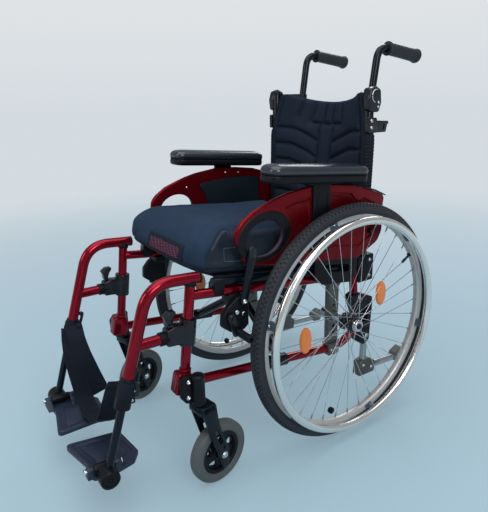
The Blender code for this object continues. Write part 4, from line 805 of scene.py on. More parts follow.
def tyre_shape():
    turns = [radians(t) for t in (0, 9, 18, 27, 36, 47, 58, 72, 86, 100, 116)]
    half = [(TYRE_MIDDLE + TYRE_SECTION * cos(t), TYRE_SECTION * 0.92 * sin(t)) for t in turns]
    half += [(RIM_R + 0.0006, 0.0092), (RIM_R - 0.005, 0.0084)]
    tyre = spun(mirrored(half[1:]) + half, TREAD_STEPS, ring=True)
    bm = bmesh.new()
    bm.from_mesh(tyre.data)
    grooves = []
    for face in bm.faces:
        middle = face.calc_center_median()
        radius = sqrt(middle.y ** 2 + middle.z ** 2)
        turn = atan2(abs(middle.x), radius - TYRE_MIDDLE)
        step = int(atan2(middle.y, middle.z) % (2 * pi) / (2 * pi) * TREAD_STEPS)
        for low, high, shift in GROOVE_BANDS:
            if low < turn < high and radius > TYRE_MIDDLE and (step + shift) % 2:
                grooves.append(face)
    bmesh.ops.inset_individual(bm, faces=grooves, thickness=0.0007, depth=-0.0016, use_even_offset=True)
    bm.to_mesh(tyre.data)
    bm.free()
    return tyre


def on_wheel(piece, name, finish_name, body="rear_wheel", node=None, sharp=35):
    pair(piece, name, finish_name, body, node, WHEEL_PLACES, sharp)


on_wheel(tyre_shape(), "rear_tyre", "black_tyre", node="rear_tyre")

# %% [markdown]
# The rim is an aluminium extrusion bent into a hoop: a rounded inner wall, two flat flanks and the
# hooked edges that hold the tyre. One profile spun about the axle gives all of it.

# %% Rim, spokes and nipples
SPOKES = 36
SPOKE_LEAN = radians(62)


def rim_shape():
    half = [
        (0.262, 0.0), (0.2621, 0.0034), (0.2629, 0.0063), (0.2648, 0.0086), (0.2672, 0.0098),
        (0.27, 0.0104), (0.2704, 0.0108), (0.2774, 0.0112), (0.2787, 0.011), (0.279, 0.0103),
        (0.2786, 0.0096), (0.2762, 0.0092), (0.2731, 0.009), (0.2722, 0.006), (0.2719, 0.0),
    ]
    return spun(half + mirrored(half[1:-1]), 144, ring=True)


def spoke_ends():
    """Foot and head of each spoke: half of them lean one way and half the other."""
    ends = []
    for index in range(SPOKES):
        flange_x = 0.0135 if index % 2 else -0.0145
        turn = 1 if index % 4 < 2 else -1
        angle = index * 2 * pi / SPOKES
        foot = wheel_spot(0.0195, angle + turn * SPOKE_LEAN, flange_x + turn * 0.0014)
        ends.append((foot, wheel_spot(0.2605, angle)))
    return ends


def nipples_shape():
    made = []
    for foot, head in spoke_ends():
        inward = (foot - head).normalized()
        made.append(rod(head + inward * 0.0125, head, 0.0017, 10, 0.0021))
        made.append(rod(foot - inward * 0.0016, foot + inward * 0.0016, 0.0019, 10))
    return joined(*made)


def hub_shape():
    return spun([
        (0.0068, -0.02), (0.0155, -0.02), (0.0165, -0.0192), (0.0168, -0.0172), (0.0222, -0.0164),
        (0.0229, -0.0158), (0.0229, -0.0132), (0.0222, -0.0126), (0.0165, -0.0112), (0.0138, -0.009),
        (0.013, -0.006), (0.013, 0.004), (0.0138, 0.008), (0.0165, 0.0108), (0.0222, 0.0116),
        (0.0229, 0.0122), (0.0229, 0.015), (0.0222, 0.0156), (0.02, 0.0163), (0.0196, 0.0205),
        (0.0185, 0.0222), (0.0175, 0.0225), (0.0068, 0.0225),
    ], 48, ring=True)


on_wheel(rim_shape(), "rear_rim", "rim_alloy", node="rear_rim")
spokes = joined(*[rod(foot, head, 0.0008, 8) for foot, head in spoke_ends()])
on_wheel(spokes, "spokes", "bright_steel", node="rear_hub")
on_wheel(nipples_shape(), "spoke_nipples", "satin_alloy")
on_wheel(hub_shape(), "rear_hub", "smooth_black", sharp=28)

# %% [markdown]
# The handrim is a polished steel hoop on six tabs that are screwed to the rim. The reflectors are
# clipped between the spokes, and the valve looks out of the rim.

# %% Handrim, tabs, reflectors and valve
TABS = 6
REFLECTOR_HALF = (0.0163, 0.0313)
VALVE_TURN = radians(59)


def handrim_shape():
    ring = [wheel_spot(HANDRIM_R, 2 * pi * step / 160, HANDRIM_X) for step in range(160)]
    return sweep(ring, 0.0095, 24, closed=True)


def at_tabs(shape):
    turns = [Matrix.Rotation(2 * pi * (index + 0.25) / TABS, 4, "X") for index in range(TABS)]
    made = [copy_of(shape, turn) for turn in turns]
    bpy.data.objects.remove(shape)
    return joined(*made)


def tab_shape():
    """One bracket: a foot on the rim's flank, a web outwards and a saddle under the handrim."""
    foot = block((0.0113, -0.011, 0.2632), (0.0143, 0.011, 0.2782), 0.0013)
    web = block((0.0118, -0.0095, 0.2652), (0.0345, 0.0095, 0.269), 0.0014)
    saddle = block((0.0265, -0.0125, 0.263), (0.0318, 0.0125, 0.2715), 0.0016)
    return fused(foot, web, saddle)


def reflector_shape(radius, angle):
    """An oval lens in a thin frame, its long axis standing upright in the photo."""
    centre = wheel_spot(radius, radians(angle))
    place = (centre.y, centre.z)
    lens = slab(oval(place, REFLECTOR_HALF), 0.0035, 0.0085, 0.0015, 2)
    rim = slab(oval(place, [half + 0.0019 for half in REFLECTOR_HALF]), 0.0025, 0.006, 0.001, 2)
    ribs = []
    for index in range(-3, 4):
        z = centre.z + index * 0.0078
        half = 0.015 * sqrt(max(0.05, 1 - ((z - centre.z) / 0.03) ** 2))
        low, high = (0.008, centre.y - half, z - 0.0007), (0.0091, centre.y + half, z + 0.0007)
        ribs.append(block(low, high, 0.0003))
    return joined(lens, rim, *ribs)


def valve_shape():
    def part(low, high, *sizes, **edge):
        return rod(wheel_spot(low, VALVE_TURN), wheel_spot(high, VALVE_TURN), *sizes, **edge)
    return joined(
        part(0.2375, 0.2635, 0.0027, 16), part(0.23, 0.244, 0.0034, 16, 0.004, 0.0008),
        part(0.259, 0.2622, 0.0062, 6, edge=0.0005),
    )


def spoke_plug_shape():
    centre = wheel_spot(0.2375, radians(-165))
    return rod(centre + IN * 0.004, centre + OUT * 0.006, 0.0085, 24, edge=0.0018)


on_wheel(handrim_shape(), "handrim", "polished_handrim", node="handrim")
on_wheel(at_tabs(tab_shape()), "handrim_tabs", "tab_grey")
tab_screws = joined(screws(0.014, OUT, 0.0034, (0, 0.2742)), screws(0.0316, OUT, 0.003, (0, 0.2672)))
on_wheel(at_tabs(tab_screws), "tab_screws", "bright_steel")
reflectors = joined(reflector_shape(0.122, 63.8), reflector_shape(0.151, -91.1))
on_wheel(reflectors, "reflectors", "reflector_orange")
on_wheel(valve_shape(), "valve", "smooth_black")
on_wheel(spoke_plug_shape(), "spoke_plug", "moulded_black")

# %% [markdown]
# The quick-release axle has a chromed cap in the middle of the hub, with a button in it that is
# pressed to pull the wheel off. The cap belongs to the axle, which doesn't turn with the wheel.
# Behind the wheel the axle sits in a sleeve, in a plate with a row of holes to set its height.

# %% Axle, its plate and its button
def axle_cap_shape():
    return spun([
        (0.0069, 0.0229), (0.015, 0.0229), (0.0158, 0.0236), (0.0158, 0.0262), (0.0148, 0.027),
        (0.0148, 0.03), (0.0142, 0.0322), (0.0128, 0.0335), (0.011, 0.0339), (0.008, 0.0336),
        (0.0071, 0.0328), (0.007, 0.0295), (0.0069, 0.029),
    ], 48, ring=True)


def button_shape():
    face = [(0.0056, 0.0373), (0.0042, 0.0379), (0, 0.038)]
    return spun([(0, 0.0299), (0.0062, 0.0299), (0.0062, 0.0362)] + face, 32)


def axle_plate_shape():
    corners = ((-0.02, 0.2), (0.015, 0.2), (0.015, 0.413), (-0.02, 0.413))
    bar = plate(corners, 0.004, 5, FRAME_X - 0.0075, FRAME_X + 0.0075, 0.0012, 2)
    heights = [HUB_Z + step * 0.0195 for step in (-2.5, -1.5, 1.5, 2.5)]
    return cut(bar, *[rod((0.15, -0.002, z), (0.21, -0.002, z), 0.0045, 24) for z in heights])


def plate_clamps_shape():
    low = block((FRAME_X - 0.0148, -0.0215, 0.194), (FRAME_X + 0.0148, 0.0165, 0.228), 0.0035, 3)
    high = block((FRAME_X - 0.0148, -0.0215, 0.386), (FRAME_X + 0.012, 0.0165, 0.4135), 0.0035, 3)
    return joined(low, high)


def axle_sleeve_shape():
    sleeve = rod(axle_point(-0.0956), axle_point(-0.0206), 0.0125, 32, edge=0.001)
    starts = (-0.081, -0.05)
    nuts = [rod(axle_point(at), axle_point(at + 0.007), 0.015, 6, edge=0.0006) for at in starts]
    return joined(sleeve, *nuts, rod(axle_point(-0.024), axle_point(0.026), 0.006, 24))


plate_screws = joined(
    screws(FRAME_X + 0.0148, OUT, 0.0042, (-0.013, 0.211), (0.008, 0.211)),
    screws(FRAME_X - 0.0148, IN, 0.0042, (-0.013, 0.4), (0.008, 0.4)),
)
on_wheel(axle_cap_shape(), "axle_cap", "bright_steel", "frame")
on_wheel(button_shape(), "axle_button", "smooth_black", "button", "axle_button")
pair(axle_plate_shape(), "axle_plate", "casting_grey", node="axle_plate")
pair(plate_clamps_shape(), "axle_plate_clamps", "casting_grey")
pair(axle_sleeve_shape(), "axle_sleeve", "satin_alloy")
pair(plate_screws, "axle_plate_screws", "bright_steel")
wheel_pieces = [o for o in bpy.data.objects if o.get("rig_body", "").startswith("rear_wheel")]
print(f"rear wheels of {len(wheel_pieces)} pieces")

# %% [markdown]
# ## Side frames
# The red side frame is four straight or bent tubes. Each is a ring swept along its path, and the
# fittings that hold them together are separate pieces, as they are on the real frame.

# %% Red tubes
RAIL_END = 0.2374
UPRIGHT_FOOT, UPRIGHT_TOP = in_plane(0.0805, 0.322), in_plane(0.07, 0.43)
RAIL_WAY = (side_point(1, 0) - side_point(0, 0)).normalized()
UPRIGHT_WAY = (side_point(0, 1) - side_point(0, 0)).normalized()


def on_upright(low_q, high_q, radius, sides=32, edge=0.0):
    """A round bar along the front upright, between two heights."""
    return rod(side_point(FRONT_P, low_q), side_point(FRONT_P, high_q), radius, sides, edge=edge)


def side_tubes_shape():
    upright = on_upright(-0.012, 0.2205, TUBE, edge=0.0008)
    corners = [side_point(FRONT_P, 0), side_point(0.215, 0), in_plane(0.104, 0.24)]
    lower = sweep(arc_corners(corners, 0.08, 14), TUBE, 32)
    upper = rod(side_point(FRONT_P, RAIL_Q), side_point(RAIL_END, RAIL_Q), TUBE, 32, edge=0.0008)
    return joined(upright, lower, upper, rod(UPRIGHT_FOOT, UPRIGHT_TOP, TUBE, 32))


def clamp_shell_shape():
    """The red clamp round the foot of the front upright, with its split and its collar."""
    corners = ((-0.027, -0.02), (0.013, -0.022), (0.016, 0.01), (0.01, 0.028), (-0.022, 0.03))
    outline = [side_point(FRONT_P + p, q)[1:] for p, q in corners]
    shell = plate(outline, 0.008, 6, FRAME_X - 0.0142, FRAME_X + 0.0142, 0.0035, 4)
    split = side_point(FRONT_P - 0.022, 0.004)
    groove = block(
        split + Vector((-0.0008, -0.012, -0.032)), split + Vector((0.0008, 0.006, 0.034)), 0.0004,
    )
    return joined(cut(shell, groove), on_upright(0.026, 0.036, TUBE + 0.0022, edge=0.0008))


def tube_caps_shape():
    """Black plugs in the open tube ends, and the cap on the rear upright."""
    along = (UPRIGHT_TOP - UPRIGHT_FOOT).normalized()
    cap = rod(UPRIGHT_TOP - along * 0.006, UPRIGHT_TOP + along * 0.008, TUBE + 0.0015, 32, edge=0.002)
    end = side_point(RAIL_END, RAIL_Q)
    rear_plug = rod(end - RAIL_WAY * 0.004, end + RAIL_WAY * 0.0025, TUBE - 0.0004, 32, edge=0.0012)
    return joined(cap, rear_plug, on_upright(-0.0145, -0.01, TUBE - 0.0008, edge=0.001))


def saddle_shape(p):
    """An open-topped block on the upper rail, in which the seat tube rests."""
    plan = ((-0.013, 0.1954), (0.013, 0.1954), (0.013, 0.2214), (-0.013, 0.2214))
    corners = [side_point(p + along, q)[1:] for along, q in plan]
    body = plate(corners, 0.003, 3, FRAME_X - 0.0145, FRAME_X + 0.0122, 0.0015, 2)
    seat = rod(side_point(p - 0.03, SEAT_Q), side_point(p + 0.03, SEAT_Q), TUBE + 0.0004, 32)
    return cut(body, seat)


pair(side_tubes_shape(), "side_tubes", "candy_red", node="side_frame")
pair(clamp_shell_shape(), "front_clamp", "candy_red")
pair(tube_caps_shape(), "tube_caps", "moulded_black")
pair(joined(saddle_shape(-0.187), saddle_shape(0.2)), "seat_saddles", "moulded_black")

# %% [markdown]
# Behind the wheel a black casting ties the rear upright to the lower rail and holds the tipping
# lever, which the attendant's foot presses to tip the chair back over a kerb.

# %% Rear casting and tipping lever
LEVER_HALF = 0.013


def rear_casting_shape():
    corners = (
        (0.055, 0.341), (0.081, 0.35), (0.139, 0.325), (0.141, 0.303), (0.134, 0.196),
        (0.113, 0.186), (0.094, 0.198), (0.079, 0.283),
    )
    body = plate(corners, 0.008, 5, FRAME_X - 0.0145, FRAME_X + 0.0145, 0.003, 3)
    window = plate(((0.103, 0.258), (0.122, 0.258), (0.124, 0.303), (0.101, 0.303)), 0.005, 5, 0.15, 0.21)
    seams = [
        block((FRAME_X + 0.013, 0.09, 0.2325), (0.2, 0.134, 0.2345), 0.0004),
        block((FRAME_X + 0.013, 0.07, 0.3165), (0.2, 0.15, 0.318), 0.0004),
    ]
    return cut(body, window, *seams)


def tipping_tube_shape():
    path = arc_corners([in_plane(0.121, 0.226), in_plane(0.128, 0.17), in_plane(0.122, 0.088)], 0.12, 8)
    return sweep(path, 0.0095, 28)


def lever_end_shape(corners, radius):
    return plate(corners, radius, 6, FRAME_X - LEVER_HALF, FRAME_X + LEVER_HALF, 0.0035, 4)


CLAMP_CORNERS = ((0.1, 0.086), (0.166, 0.084), (0.168, 0.118), (0.138, 0.136), (0.104, 0.132))
PAD_CORNERS = ((0.256, 0.083), (0.29, 0.08), (0.3, 0.106), (0.288, 0.124), (0.256, 0.11))
grip_cuts = [
    block((0.16, 0.262 + i * 0.0065, 0.07), (0.2, 0.264 + i * 0.0065, 0.0835), 0.0004) for i in range(5)
]
pair(rear_casting_shape(), "rear_casting", "powder_black", node="rear_bracket")
pair(tipping_tube_shape(), "tipping_tube", "satin_alloy", node="tipping_lever")
pair(lever_end_shape(CLAMP_CORNERS, 0.009), "tipping_clamp", "casting_grey")
pair(rod(in_plane(0.15, 0.103), in_plane(0.272, 0.0925), 0.01, 28), "tipping_bar", "satin_alloy")
pair(cut(lever_end_shape(PAD_CORNERS, 0.01), *grip_cuts), "tipping_pad", "grey_rubber")
casting_bolts = joined(
    screws(FRAME_X + 0.0145, OUT, 0.0062, (0.085, 0.336), (0.12, 0.212)),
    screws(FRAME_X + LEVER_HALF, OUT, 0.0052, (0.118, 0.118), (0.15, 0.104)),
)
pair(casting_bolts, "casting_bolts", "bright_steel")

# %% [markdown]
# ## Cross brace
# Two arms cross under the seat. Each turns on one lower rail in a sleeve and carries the opposite seat
# tube on top, and a bolt joins them in the middle, so that lifting the seat folds the chair.

# %% Brace arms
ARM_HALF = 0.0085
PIVOT_Q = SEAT_Q / 2


def along_rail(p_low, p_high, q, x, radius, sides=36, edge=0.0):
    """A round bar that runs along the rails at height q."""
    return rod(side_point(p_low, q, x), side_point(p_high, q, x), radius, sides, edge=edge)


def brace_arm_shape(x, p):
    """The arm, which is pressed thinner towards the seat tube, with its sleeve on the lower rail."""
    low, high = side_point(p, 0, x), side_point(p, SEAT_Q, -x)
    path = [low.lerp(high, share) for share in (0.0, 0.925, 0.94, 0.955, 1.0)]
    arm = sweep(path, (0.0115, 0.0115, 0.0095, 0.0068, 0.0068), 28)
    sleeve = along_rail(-0.032, 0.032, 0, x, 0.0155, edge=0.0016)
    return joined(arm, cut(sleeve, along_rail(-0.05, 0.05, 0, x, TUBE + 0.0008)))


for letter, x, p in (("a", -FRAME_X, -0.0135), ("b", FRAME_X, 0.0135)):
    body = f"brace_{letter}"
    dress(brace_arm_shape(x, p), f"brace_arm_{letter}", body, "powder_black", [body])
    seat_tube = along_rail(-0.2, 0.2155, SEAT_Q, -x, TUBE, 32, 0.0012)
    dress(seat_tube, f"seat_tube_{letter}", body, "powder_black")
    boss = along_rail(p - ARM_HALF, p + ARM_HALF, PIVOT_Q, 0, 0.0175, edge=0.0014)
    dress(boss, f"pivot_boss_{letter}", body, "powder_black")
pivot_bolt = joined(
    along_rail(-0.029, 0.029, PIVOT_Q, 0, 0.005, 24),
    screw_at(side_point(0.0225, PIVOT_Q, 0), RAIL_WAY, 0.0085),
    screw_at(side_point(-0.0225, PIVOT_Q, 0), -RAIL_WAY, 0.0085),
)
dress(pivot_bolt, "pivot_bolt", "brace_a", "bright_steel")

# %% [markdown]
# ## Casters
# Each front wheel stands in a fork that swivels on a stem. The housing of the stem's bearings is
# bolted to the red clamp, and the fork's legs are cast with a slot and a small hole.

# %% Housing and fork
HOUSING_IN = FRAME_X + 0.0146
LEG_IN, LEG_OUT = 0.019, 0.024
CASTER_AXLE = (0.047, 0.075)
PETALS = 5


def housing_shape():
    barrel = spun([
        (0, 0.2222), (0.0068, 0.2222), (0.0146, 0.2222), (0.0152, 0.223), (0.0152, 0.2262),
        (0.0145, 0.2272), (0.0145, 0.285), (0.0151, 0.286), (0.0151, 0.2885), (0.0142, 0.2905),
        (0.0125, 0.2925), (0.008, 0.294), (0.0, 0.2942),
    ], 48)
    placed(barrel, Matrix.Translation((CASTER_X, CASTER_Y, 0)) @ Matrix.Rotation(-pi / 2, 4, "Y"))
    corners = (
        (-0.43, 0.29), (-0.452, 0.295), (-0.464, 0.28), (-0.463, 0.244), (-0.452, 0.229),
        (-0.43, 0.226),
    )
    return joined(barrel, plate(corners, 0.007, 5, HOUSING_IN, HOUSING_IN + 0.0125, 0.0028, 3))


def caster_rod(low_x, high_x, radius, sides, edge=0.0):
    """A round bar about the caster's axle."""
    return rod((low_x, *CASTER_AXLE), (high_x, *CASTER_AXLE), radius, sides, edge=edge)


def fork_leg_shape(low_x, high_x):
    corners = (
        (-0.01, 0.2205), (0.028, 0.2205), (0.033, 0.179), (0.041, 0.141), (0.06, 0.09),
        (0.06, 0.05), (0.052, 0.036), (0.041, 0.04), (0.01, 0.14), (-0.006, 0.195),
    )
    leg = plate(corners, 0.009, 6, low_x, high_x, 0.0012, 2)
    slot_corners = ((0.021, 0.152), (0.031, 0.148), (0.044, 0.111), (0.034, 0.108))
    slot = plate(slot_corners, 0.0045, 5, low_x - 0.01, high_x + 0.01)
    hole = rod((low_x - 0.01, 0.0465, 0.096), (high_x + 0.01, 0.0465, 0.096), 0.0028, 20)
    return cut(leg, slot, hole)


def fork_shape():
    crown = block((-LEG_OUT, -0.012, 0.2005), (LEG_OUT, 0.0285, 0.2205), 0.004, 4)
    washer = rod((0, 0, 0.2185), (0, 0, 0.2216), 0.0112, 32, edge=0.0005)
    stem = rod((0, 0, 0.2105), (0, 0, 0.266), 0.006, 24)
    spacers = [caster_rod(side * 0.0155, side * 0.0195, 0.0072, 24, 0.0005) for side in (1, -1)]
    legs = fork_leg_shape(LEG_IN, LEG_OUT), fork_leg_shape(-LEG_OUT, -LEG_IN)
    return joined(*legs, crown, washer, stem, *spacers)


def caster_tyre_shape():
    half = [
        (0.075, 0.0), (0.075, 0.005), (0.0746, 0.0082), (0.0732, 0.011), (0.0706, 0.0132),
        (0.0672, 0.0145), (0.063, 0.015), (0.0585, 0.015), (0.0562, 0.0147), (0.054, 0.0136),
        (0.052, 0.0111), (0.0518, 0.0),
    ]
    return spun(half + mirrored(half[1:-1]), 96, ring=True)


def caster_hub_shape():
    """A thin wheel body whose web is pierced by five petals."""
    half = [
        (0.0516, 0.0108), (0.048, 0.0111), (0.044, 0.0108), (0.0418, 0.0085), (0.0408, 0.0048),
        (0.03, 0.004), (0.02, 0.0046), (0.0158, 0.006), (0.0135, 0.0095), (0.0128, 0.0148),
        (0.012, 0.0151), (0.0048, 0.0151),
    ]
    hub = spun(half + mirrored(half), 96, ring=True)
    corners = ((-0.004, 0.0185), (0.017, 0.036), (0.0015, 0.0395), (-0.013, 0.0365))
    turns = [Matrix.Rotation(2 * pi * index / PETALS, 4, "X") for index in range(PETALS)]
    return cut(hub, *[placed(plate(corners, 0.0035, 5, -0.02, 0.02), turn) for turn in turns])


def on_caster(piece, name, finish_name, body="caster_wheel", node=None):
    pair(piece, name, finish_name, body, node, CASTER_PLACES)


pair(housing_shape(), "caster_housing", "moulded_black", node="caster_housing")
housing_bolts = screws(HOUSING_IN + 0.0125, OUT, 0.0056, (-0.445, 0.28), (-0.447, 0.243))
pair(housing_bolts, "housing_bolts", "bright_steel")
on_caster(fork_shape(), "caster_fork", "powder_black", "caster_fork", "caster_fork")
fork_bolts = joined(
    screws(LEG_OUT, OUT, 0.0062, CASTER_AXLE, head=HEX_HEAD),
    screws(-LEG_OUT, IN, 0.0062, CASTER_AXLE, head=HEX_HEAD),
    screws(LEG_OUT, OUT, 0.0062, CASTER_AXLE, head=WASHER),
    screws(-LEG_OUT, IN, 0.0062, CASTER_AXLE, head=WASHER),
    caster_rod(-LEG_IN, LEG_IN, 0.004, 20),
)
on_caster(fork_bolts, "fork_bolts", "bright_steel", "caster_fork")
to_axle = Matrix.Translation((0, *CASTER_AXLE))
on_caster(placed(caster_hub_shape(), to_axle), "caster_hub", "moulded_black", node="caster_hub")
on_caster(placed(caster_tyre_shape(), to_axle), "caster_tyre", "grey_tyre", node="caster_tyre")
print("frame and casters are in place")

# %% [markdown]
# ## Side guards and armrests
# The guard is one moulding: an arched shell with a soft rim, two sunk panels, a groove for the armrest
# post and a round window framed by a black ring. The shell is cut from its outline, and the ring is a
# piece of its own, since it has another colour and finish.

# %% Side guard
GUARD_IN, GUARD_OUT = 0.199, 0.2095
RING_CENTRE, WINDOW_CENTRE = (-0.2385, 0.564), (-0.2402, 0.56)
WINDOW_TURN = radians(10)
PANEL_SINK = 0.0042
GUARD_CORNERS = (
    (-0.293, 0.509), (-0.317, 0.567), (-0.314, 0.59), (-0.299, 0.605), (-0.271, 0.623), (-0.243, 0.633),
    (-0.209, 0.644), (-0.174, 0.652), (-0.106, 0.66), (-0.039, 0.657), (0.027, 0.648), (0.091, 0.629),
    (0.147, 0.607), (0.143, 0.582), (0.144, 0.515), (0.129, 0.488), (0.057, 0.456), (-0.085, 0.474),
    (-0.18, 0.486),
)
INNER_SINK = (
    (-0.134, 0.5), (-0.142, 0.566), (-0.152, 0.594), (-0.172, 0.6215), (-0.11, 0.6285),
    (-0.061, 0.6312), (0.001, 0.6277), (0.046, 0.6216), (0.05, 0.554), (0.047, 0.49),
)
FRONT_PANEL = (
    (-0.15, 0.525), (-0.162, 0.575), (-0.186, 0.6235), (-0.148, 0.633), (-0.108, 0.636),
    (-0.108, 0.525),
)
REAR_PANEL = (
    (-0.045, 0.505), (-0.045, 0.637), (-0.007, 0.633), (0.026, 0.627), (0.038, 0.613),
    (0.05, 0.6065), (0.07, 0.611), (0.11, 0.5925), (0.118, 0.57), (0.114, 0.515), (0.06, 0.488),
)


def window_shape(sizes):
    return slab(oval(WINDOW_CENTRE, sizes, WINDOW_TURN, 72), 0.15, 0.25)


def guard_shape():
    shell = plate(GUARD_CORNERS, 0.03, 5, GUARD_IN, GUARD_OUT, 0.0042, 5)
    groove = block((GUARD_OUT - 0.0046, -0.1044, 0.496), (GUARD_OUT + 0.01, -0.0486, 0.68), 0.0006)
    inner_sink = plate(INNER_SINK, 0.015, 5, GUARD_IN - 0.01, GUARD_IN + 0.0026)
    panels = [
        plate(corners, 0.007, 4, GUARD_OUT - PANEL_SINK, GUARD_OUT + 0.01, 0.0022, 3)
        for corners in (FRONT_PANEL, REAR_PANEL)
    ]
    return cut(shell, window_shape((0.0512, 0.0395)), groove, inner_sink, *panels)


def guard_beads_shape():
    """A fine ridge that follows the top of each sunk panel."""
    made = []
    for line in (FRONT_PANEL[2:5], REAR_PANEL[1:5], REAR_PANEL[5:8]):
        points = arc_corners([Vector((GUARD_OUT - PANEL_SINK, y, z - 0.0085)) for y, z in line], 0.012, 6)
        made.append(sweep(points, 0.0022, 14))
    return joined(*made)


def guard_beam_shape():
    """The lower arm of the moulding, through whose slot the axle plate's screws are reached."""
    corners = (
        (-0.088, 0.486), (-0.084, 0.428), (-0.06, 0.408), (0.036, 0.394), (0.058, 0.41), (0.062, 0.476),
    )
    beam = plate(corners, 0.01, 5, FRAME_X + 0.0128, GUARD_IN + 0.006, 0.0022, 3)
    slot = ((-0.052, 0.459), (-0.052, 0.44), (0.03, 0.424), (0.03, 0.444))
    return cut(beam, plate(slot, 0.004, 5, 0.15, 0.25))


def ring_shape(centre, outer, inner, low_x, high_x, bevel):
    ring = slab(oval(centre, outer, WINDOW_TURN, 72), low_x, high_x, bevel, 4)
    return eased(cut(ring, window_shape(inner)), 0.0016, 3, 50)


def inner_panel_shape():
    """The dark plate let into the face that looks at the seat."""
    middle = Vector((-0.05, 0.57))
    outline = [middle + (point - middle) * 0.975 for point in rounded(INNER_SINK, 0.012)]
    return slab(outline, GUARD_IN - 0.0002, GUARD_IN + 0.0034, 0.0012, 3)


pair(guard_shape(), "guard_shell", "guard_red", node="side_guard")
pair(guard_beads_shape(), "guard_beads", "guard_red")
pair(inner_panel_shape(), "guard_inner_panel", "inner_panel")
pair(guard_beam_shape(), "guard_beam", "moulded_black")
pair(ring_shape(
    RING_CENTRE, (0.0745, 0.056), (0.0515, 0.0398), GUARD_OUT - 0.0075, GUARD_OUT + 0.0016, 0.0044,
), "guard_ring", "moulded_black")
# The lip lining the window's wall gets the footplates' lighter blue grey instead of the ring's black: a
# painted reflection for the grey sheen the satin black wall shows.
pair(ring_shape(
    WINDOW_CENTRE, (0.0522, 0.0405), (0.05, 0.0383), GUARD_IN + 0.0014, GUARD_OUT - 0.001, 0.0004,
), "guard_ring_lip", "footplate_grey")

# %% [markdown]
# The armrest post slides in the guard's groove and carries the pad. A small clip at the rear of the
# guard holds its tip to the backrest post.

# %% Armrest post, clip and pad
PAD_SLOPE = radians(5.2)
PAD_PLACE = Matrix.Translation((0.21, -0.0815, 0.689)) @ Matrix.Rotation(-PAD_SLOPE, 4, "X")
PAD_FORWARD = 0.009


def arm_post_shape():
    corners = ((-0.104, 0.5), (-0.049, 0.5), (-0.049, 0.667), (-0.104, 0.672))
    post = plate(corners, 0.003, 3, 0.2059, 0.2145, 0.0014, 3)
    flutes = [(y - 0.0015, y + 0.0015) for y in (-0.092, -0.061)]
    return cut(post, *[block((0.2138, low, 0.515), (0.22, high, 0.64), 0.0006) for low, high in flutes])


def guard_clip_shape():
    """The round plug low at the rear, its wire hook, and the thin cap strip on the guard's tail."""
    ends = [(GUARD_OUT + x, 0.1, 0.5205) for x in (-0.003, 0.0062)]
    plug = rod(*ends, 0.0068, 28, edge=0.0016)
    bends = ((0.104, 0.524), (0.116, 0.53), (0.115, 0.542))
    hook = sweep(arc_corners([in_plane(y, z, GUARD_OUT + 0.004) for y, z in bends], 0.006, 6), 0.0012, 10)
    corners = (
        (0.07, 0.638), (0.11, 0.6265), (0.15, 0.6085), (0.149, 0.606), (0.11, 0.6225),
        (0.07, 0.635),
    )
    return joined(plug, hook, plate(corners, 0.001, 2, GUARD_IN - 0.001, GUARD_OUT + 0.001, 0.0008, 2))


def pad_body_shape():
    """A crowned top over straight sides, built up from stacked rings of the pad's plan."""
    half_x, half_y = 0.0325, 0.1475
    levels = (
        (-0.0025, 0.0022), (-0.0015, 0.0008), (0.001, 0.0), (0.005, 0.0), (0.0085, 0.001),
        (0.0118, 0.003), (0.0146, 0.0064), (0.0166, 0.011), (0.018, 0.0175), (0.0188, 0.025),
    )
    bm = bmesh.new()
    rings = []
    for z, inset in levels:
        x, y = half_x - inset, half_y - inset * 1.15
        outline = rounded(((x, y), (-x, y), (-x, -y), (x, -y)), max(0.004, 0.026 - inset * 0.9), 10)
        verts = [bm.verts.new((p.x, p.y - PAD_FORWARD, z)) for p in outline]
        rings.append([bm.edges.new((verts[i - 1], verts[i])) for i in range(len(verts))])
    for low, high in zip(rings, rings[1:]):
        bmesh.ops.bridge_loops(bm, edges=low + high)
    bmesh.ops.holes_fill(bm, edges=rings[0] + rings[-1], sides=0)
    return shape_from(bm)


def pad_base_shape():
    """The harder moulding under the skin, chamfered at its rear end, with a lip all round its top."""
    corners = ((0.0318, 0.1465), (-0.0318, 0.1465), (-0.0318, -0.1465), (0.0318, -0.1465))
    outline = [p - Vector((0, PAD_FORWARD)) for p in rounded(corners, 0.0245, 10)]
    base = plan_slab(outline, -0.0225, -0.0032, 0.0066, 4)
    return joined(base, plan_slab([p * 1.004 for p in outline], -0.0044, -0.002, 0.0009, 2))


pair(arm_post_shape(), "arm_post", "moulded_black", "armrest", "arm_post")
post_screws = screws(0.2145, OUT, 0.0034, (-0.089, 0.65), (-0.0765, 0.525))
pair(post_screws, "arm_post_screws", "smooth_black", "armrest")
pair(guard_clip_shape(), "guard_clip", "smooth_black")
guard_screws = joined(
    screws(GUARD_IN - 0.0002, IN, 0.0038, (-0.205, 0.615), (-0.0757, 0.645), (-0.0297, 0.6415)),
    screws(GUARD_OUT - 0.0002, OUT, 0.003, (0.129, 0.545)),
)
pair(guard_screws, "guard_screws", "bright_steel")
pair(placed(pad_body_shape(), PAD_PLACE), "arm_pad", "arm_pad_skin", "armrest", "arm_pad")
pair(placed(pad_base_shape(), PAD_PLACE), "arm_pad_base", "moulded_black", "armrest")

# %% [markdown]
# ## Front hangers and footrests
# The hanger is a red tube that curves forward and down, hangs on a pin in the top of the front
# upright and is locked by a black clamp lower down. Its leg ends in a black sleeve with a small hook
# lever, and the foot tube slides in that sleeve.

# %% Hanger
HANGER_REAR, HANGER_FRONT = in_plane(-0.392, 0.4975), in_plane(-0.50655, 0.5065)


def hanger_tube_shape():
    path = arc_corners([HANGER_REAR, HANGER_FRONT, leg_point(0.262)], 0.106, 18)
    cross = sweep([leg_point(0.384), in_plane(-0.466, 0.383)], 0.0118, 32)
    return joined(sweep(path, 0.0125, 36), cross)


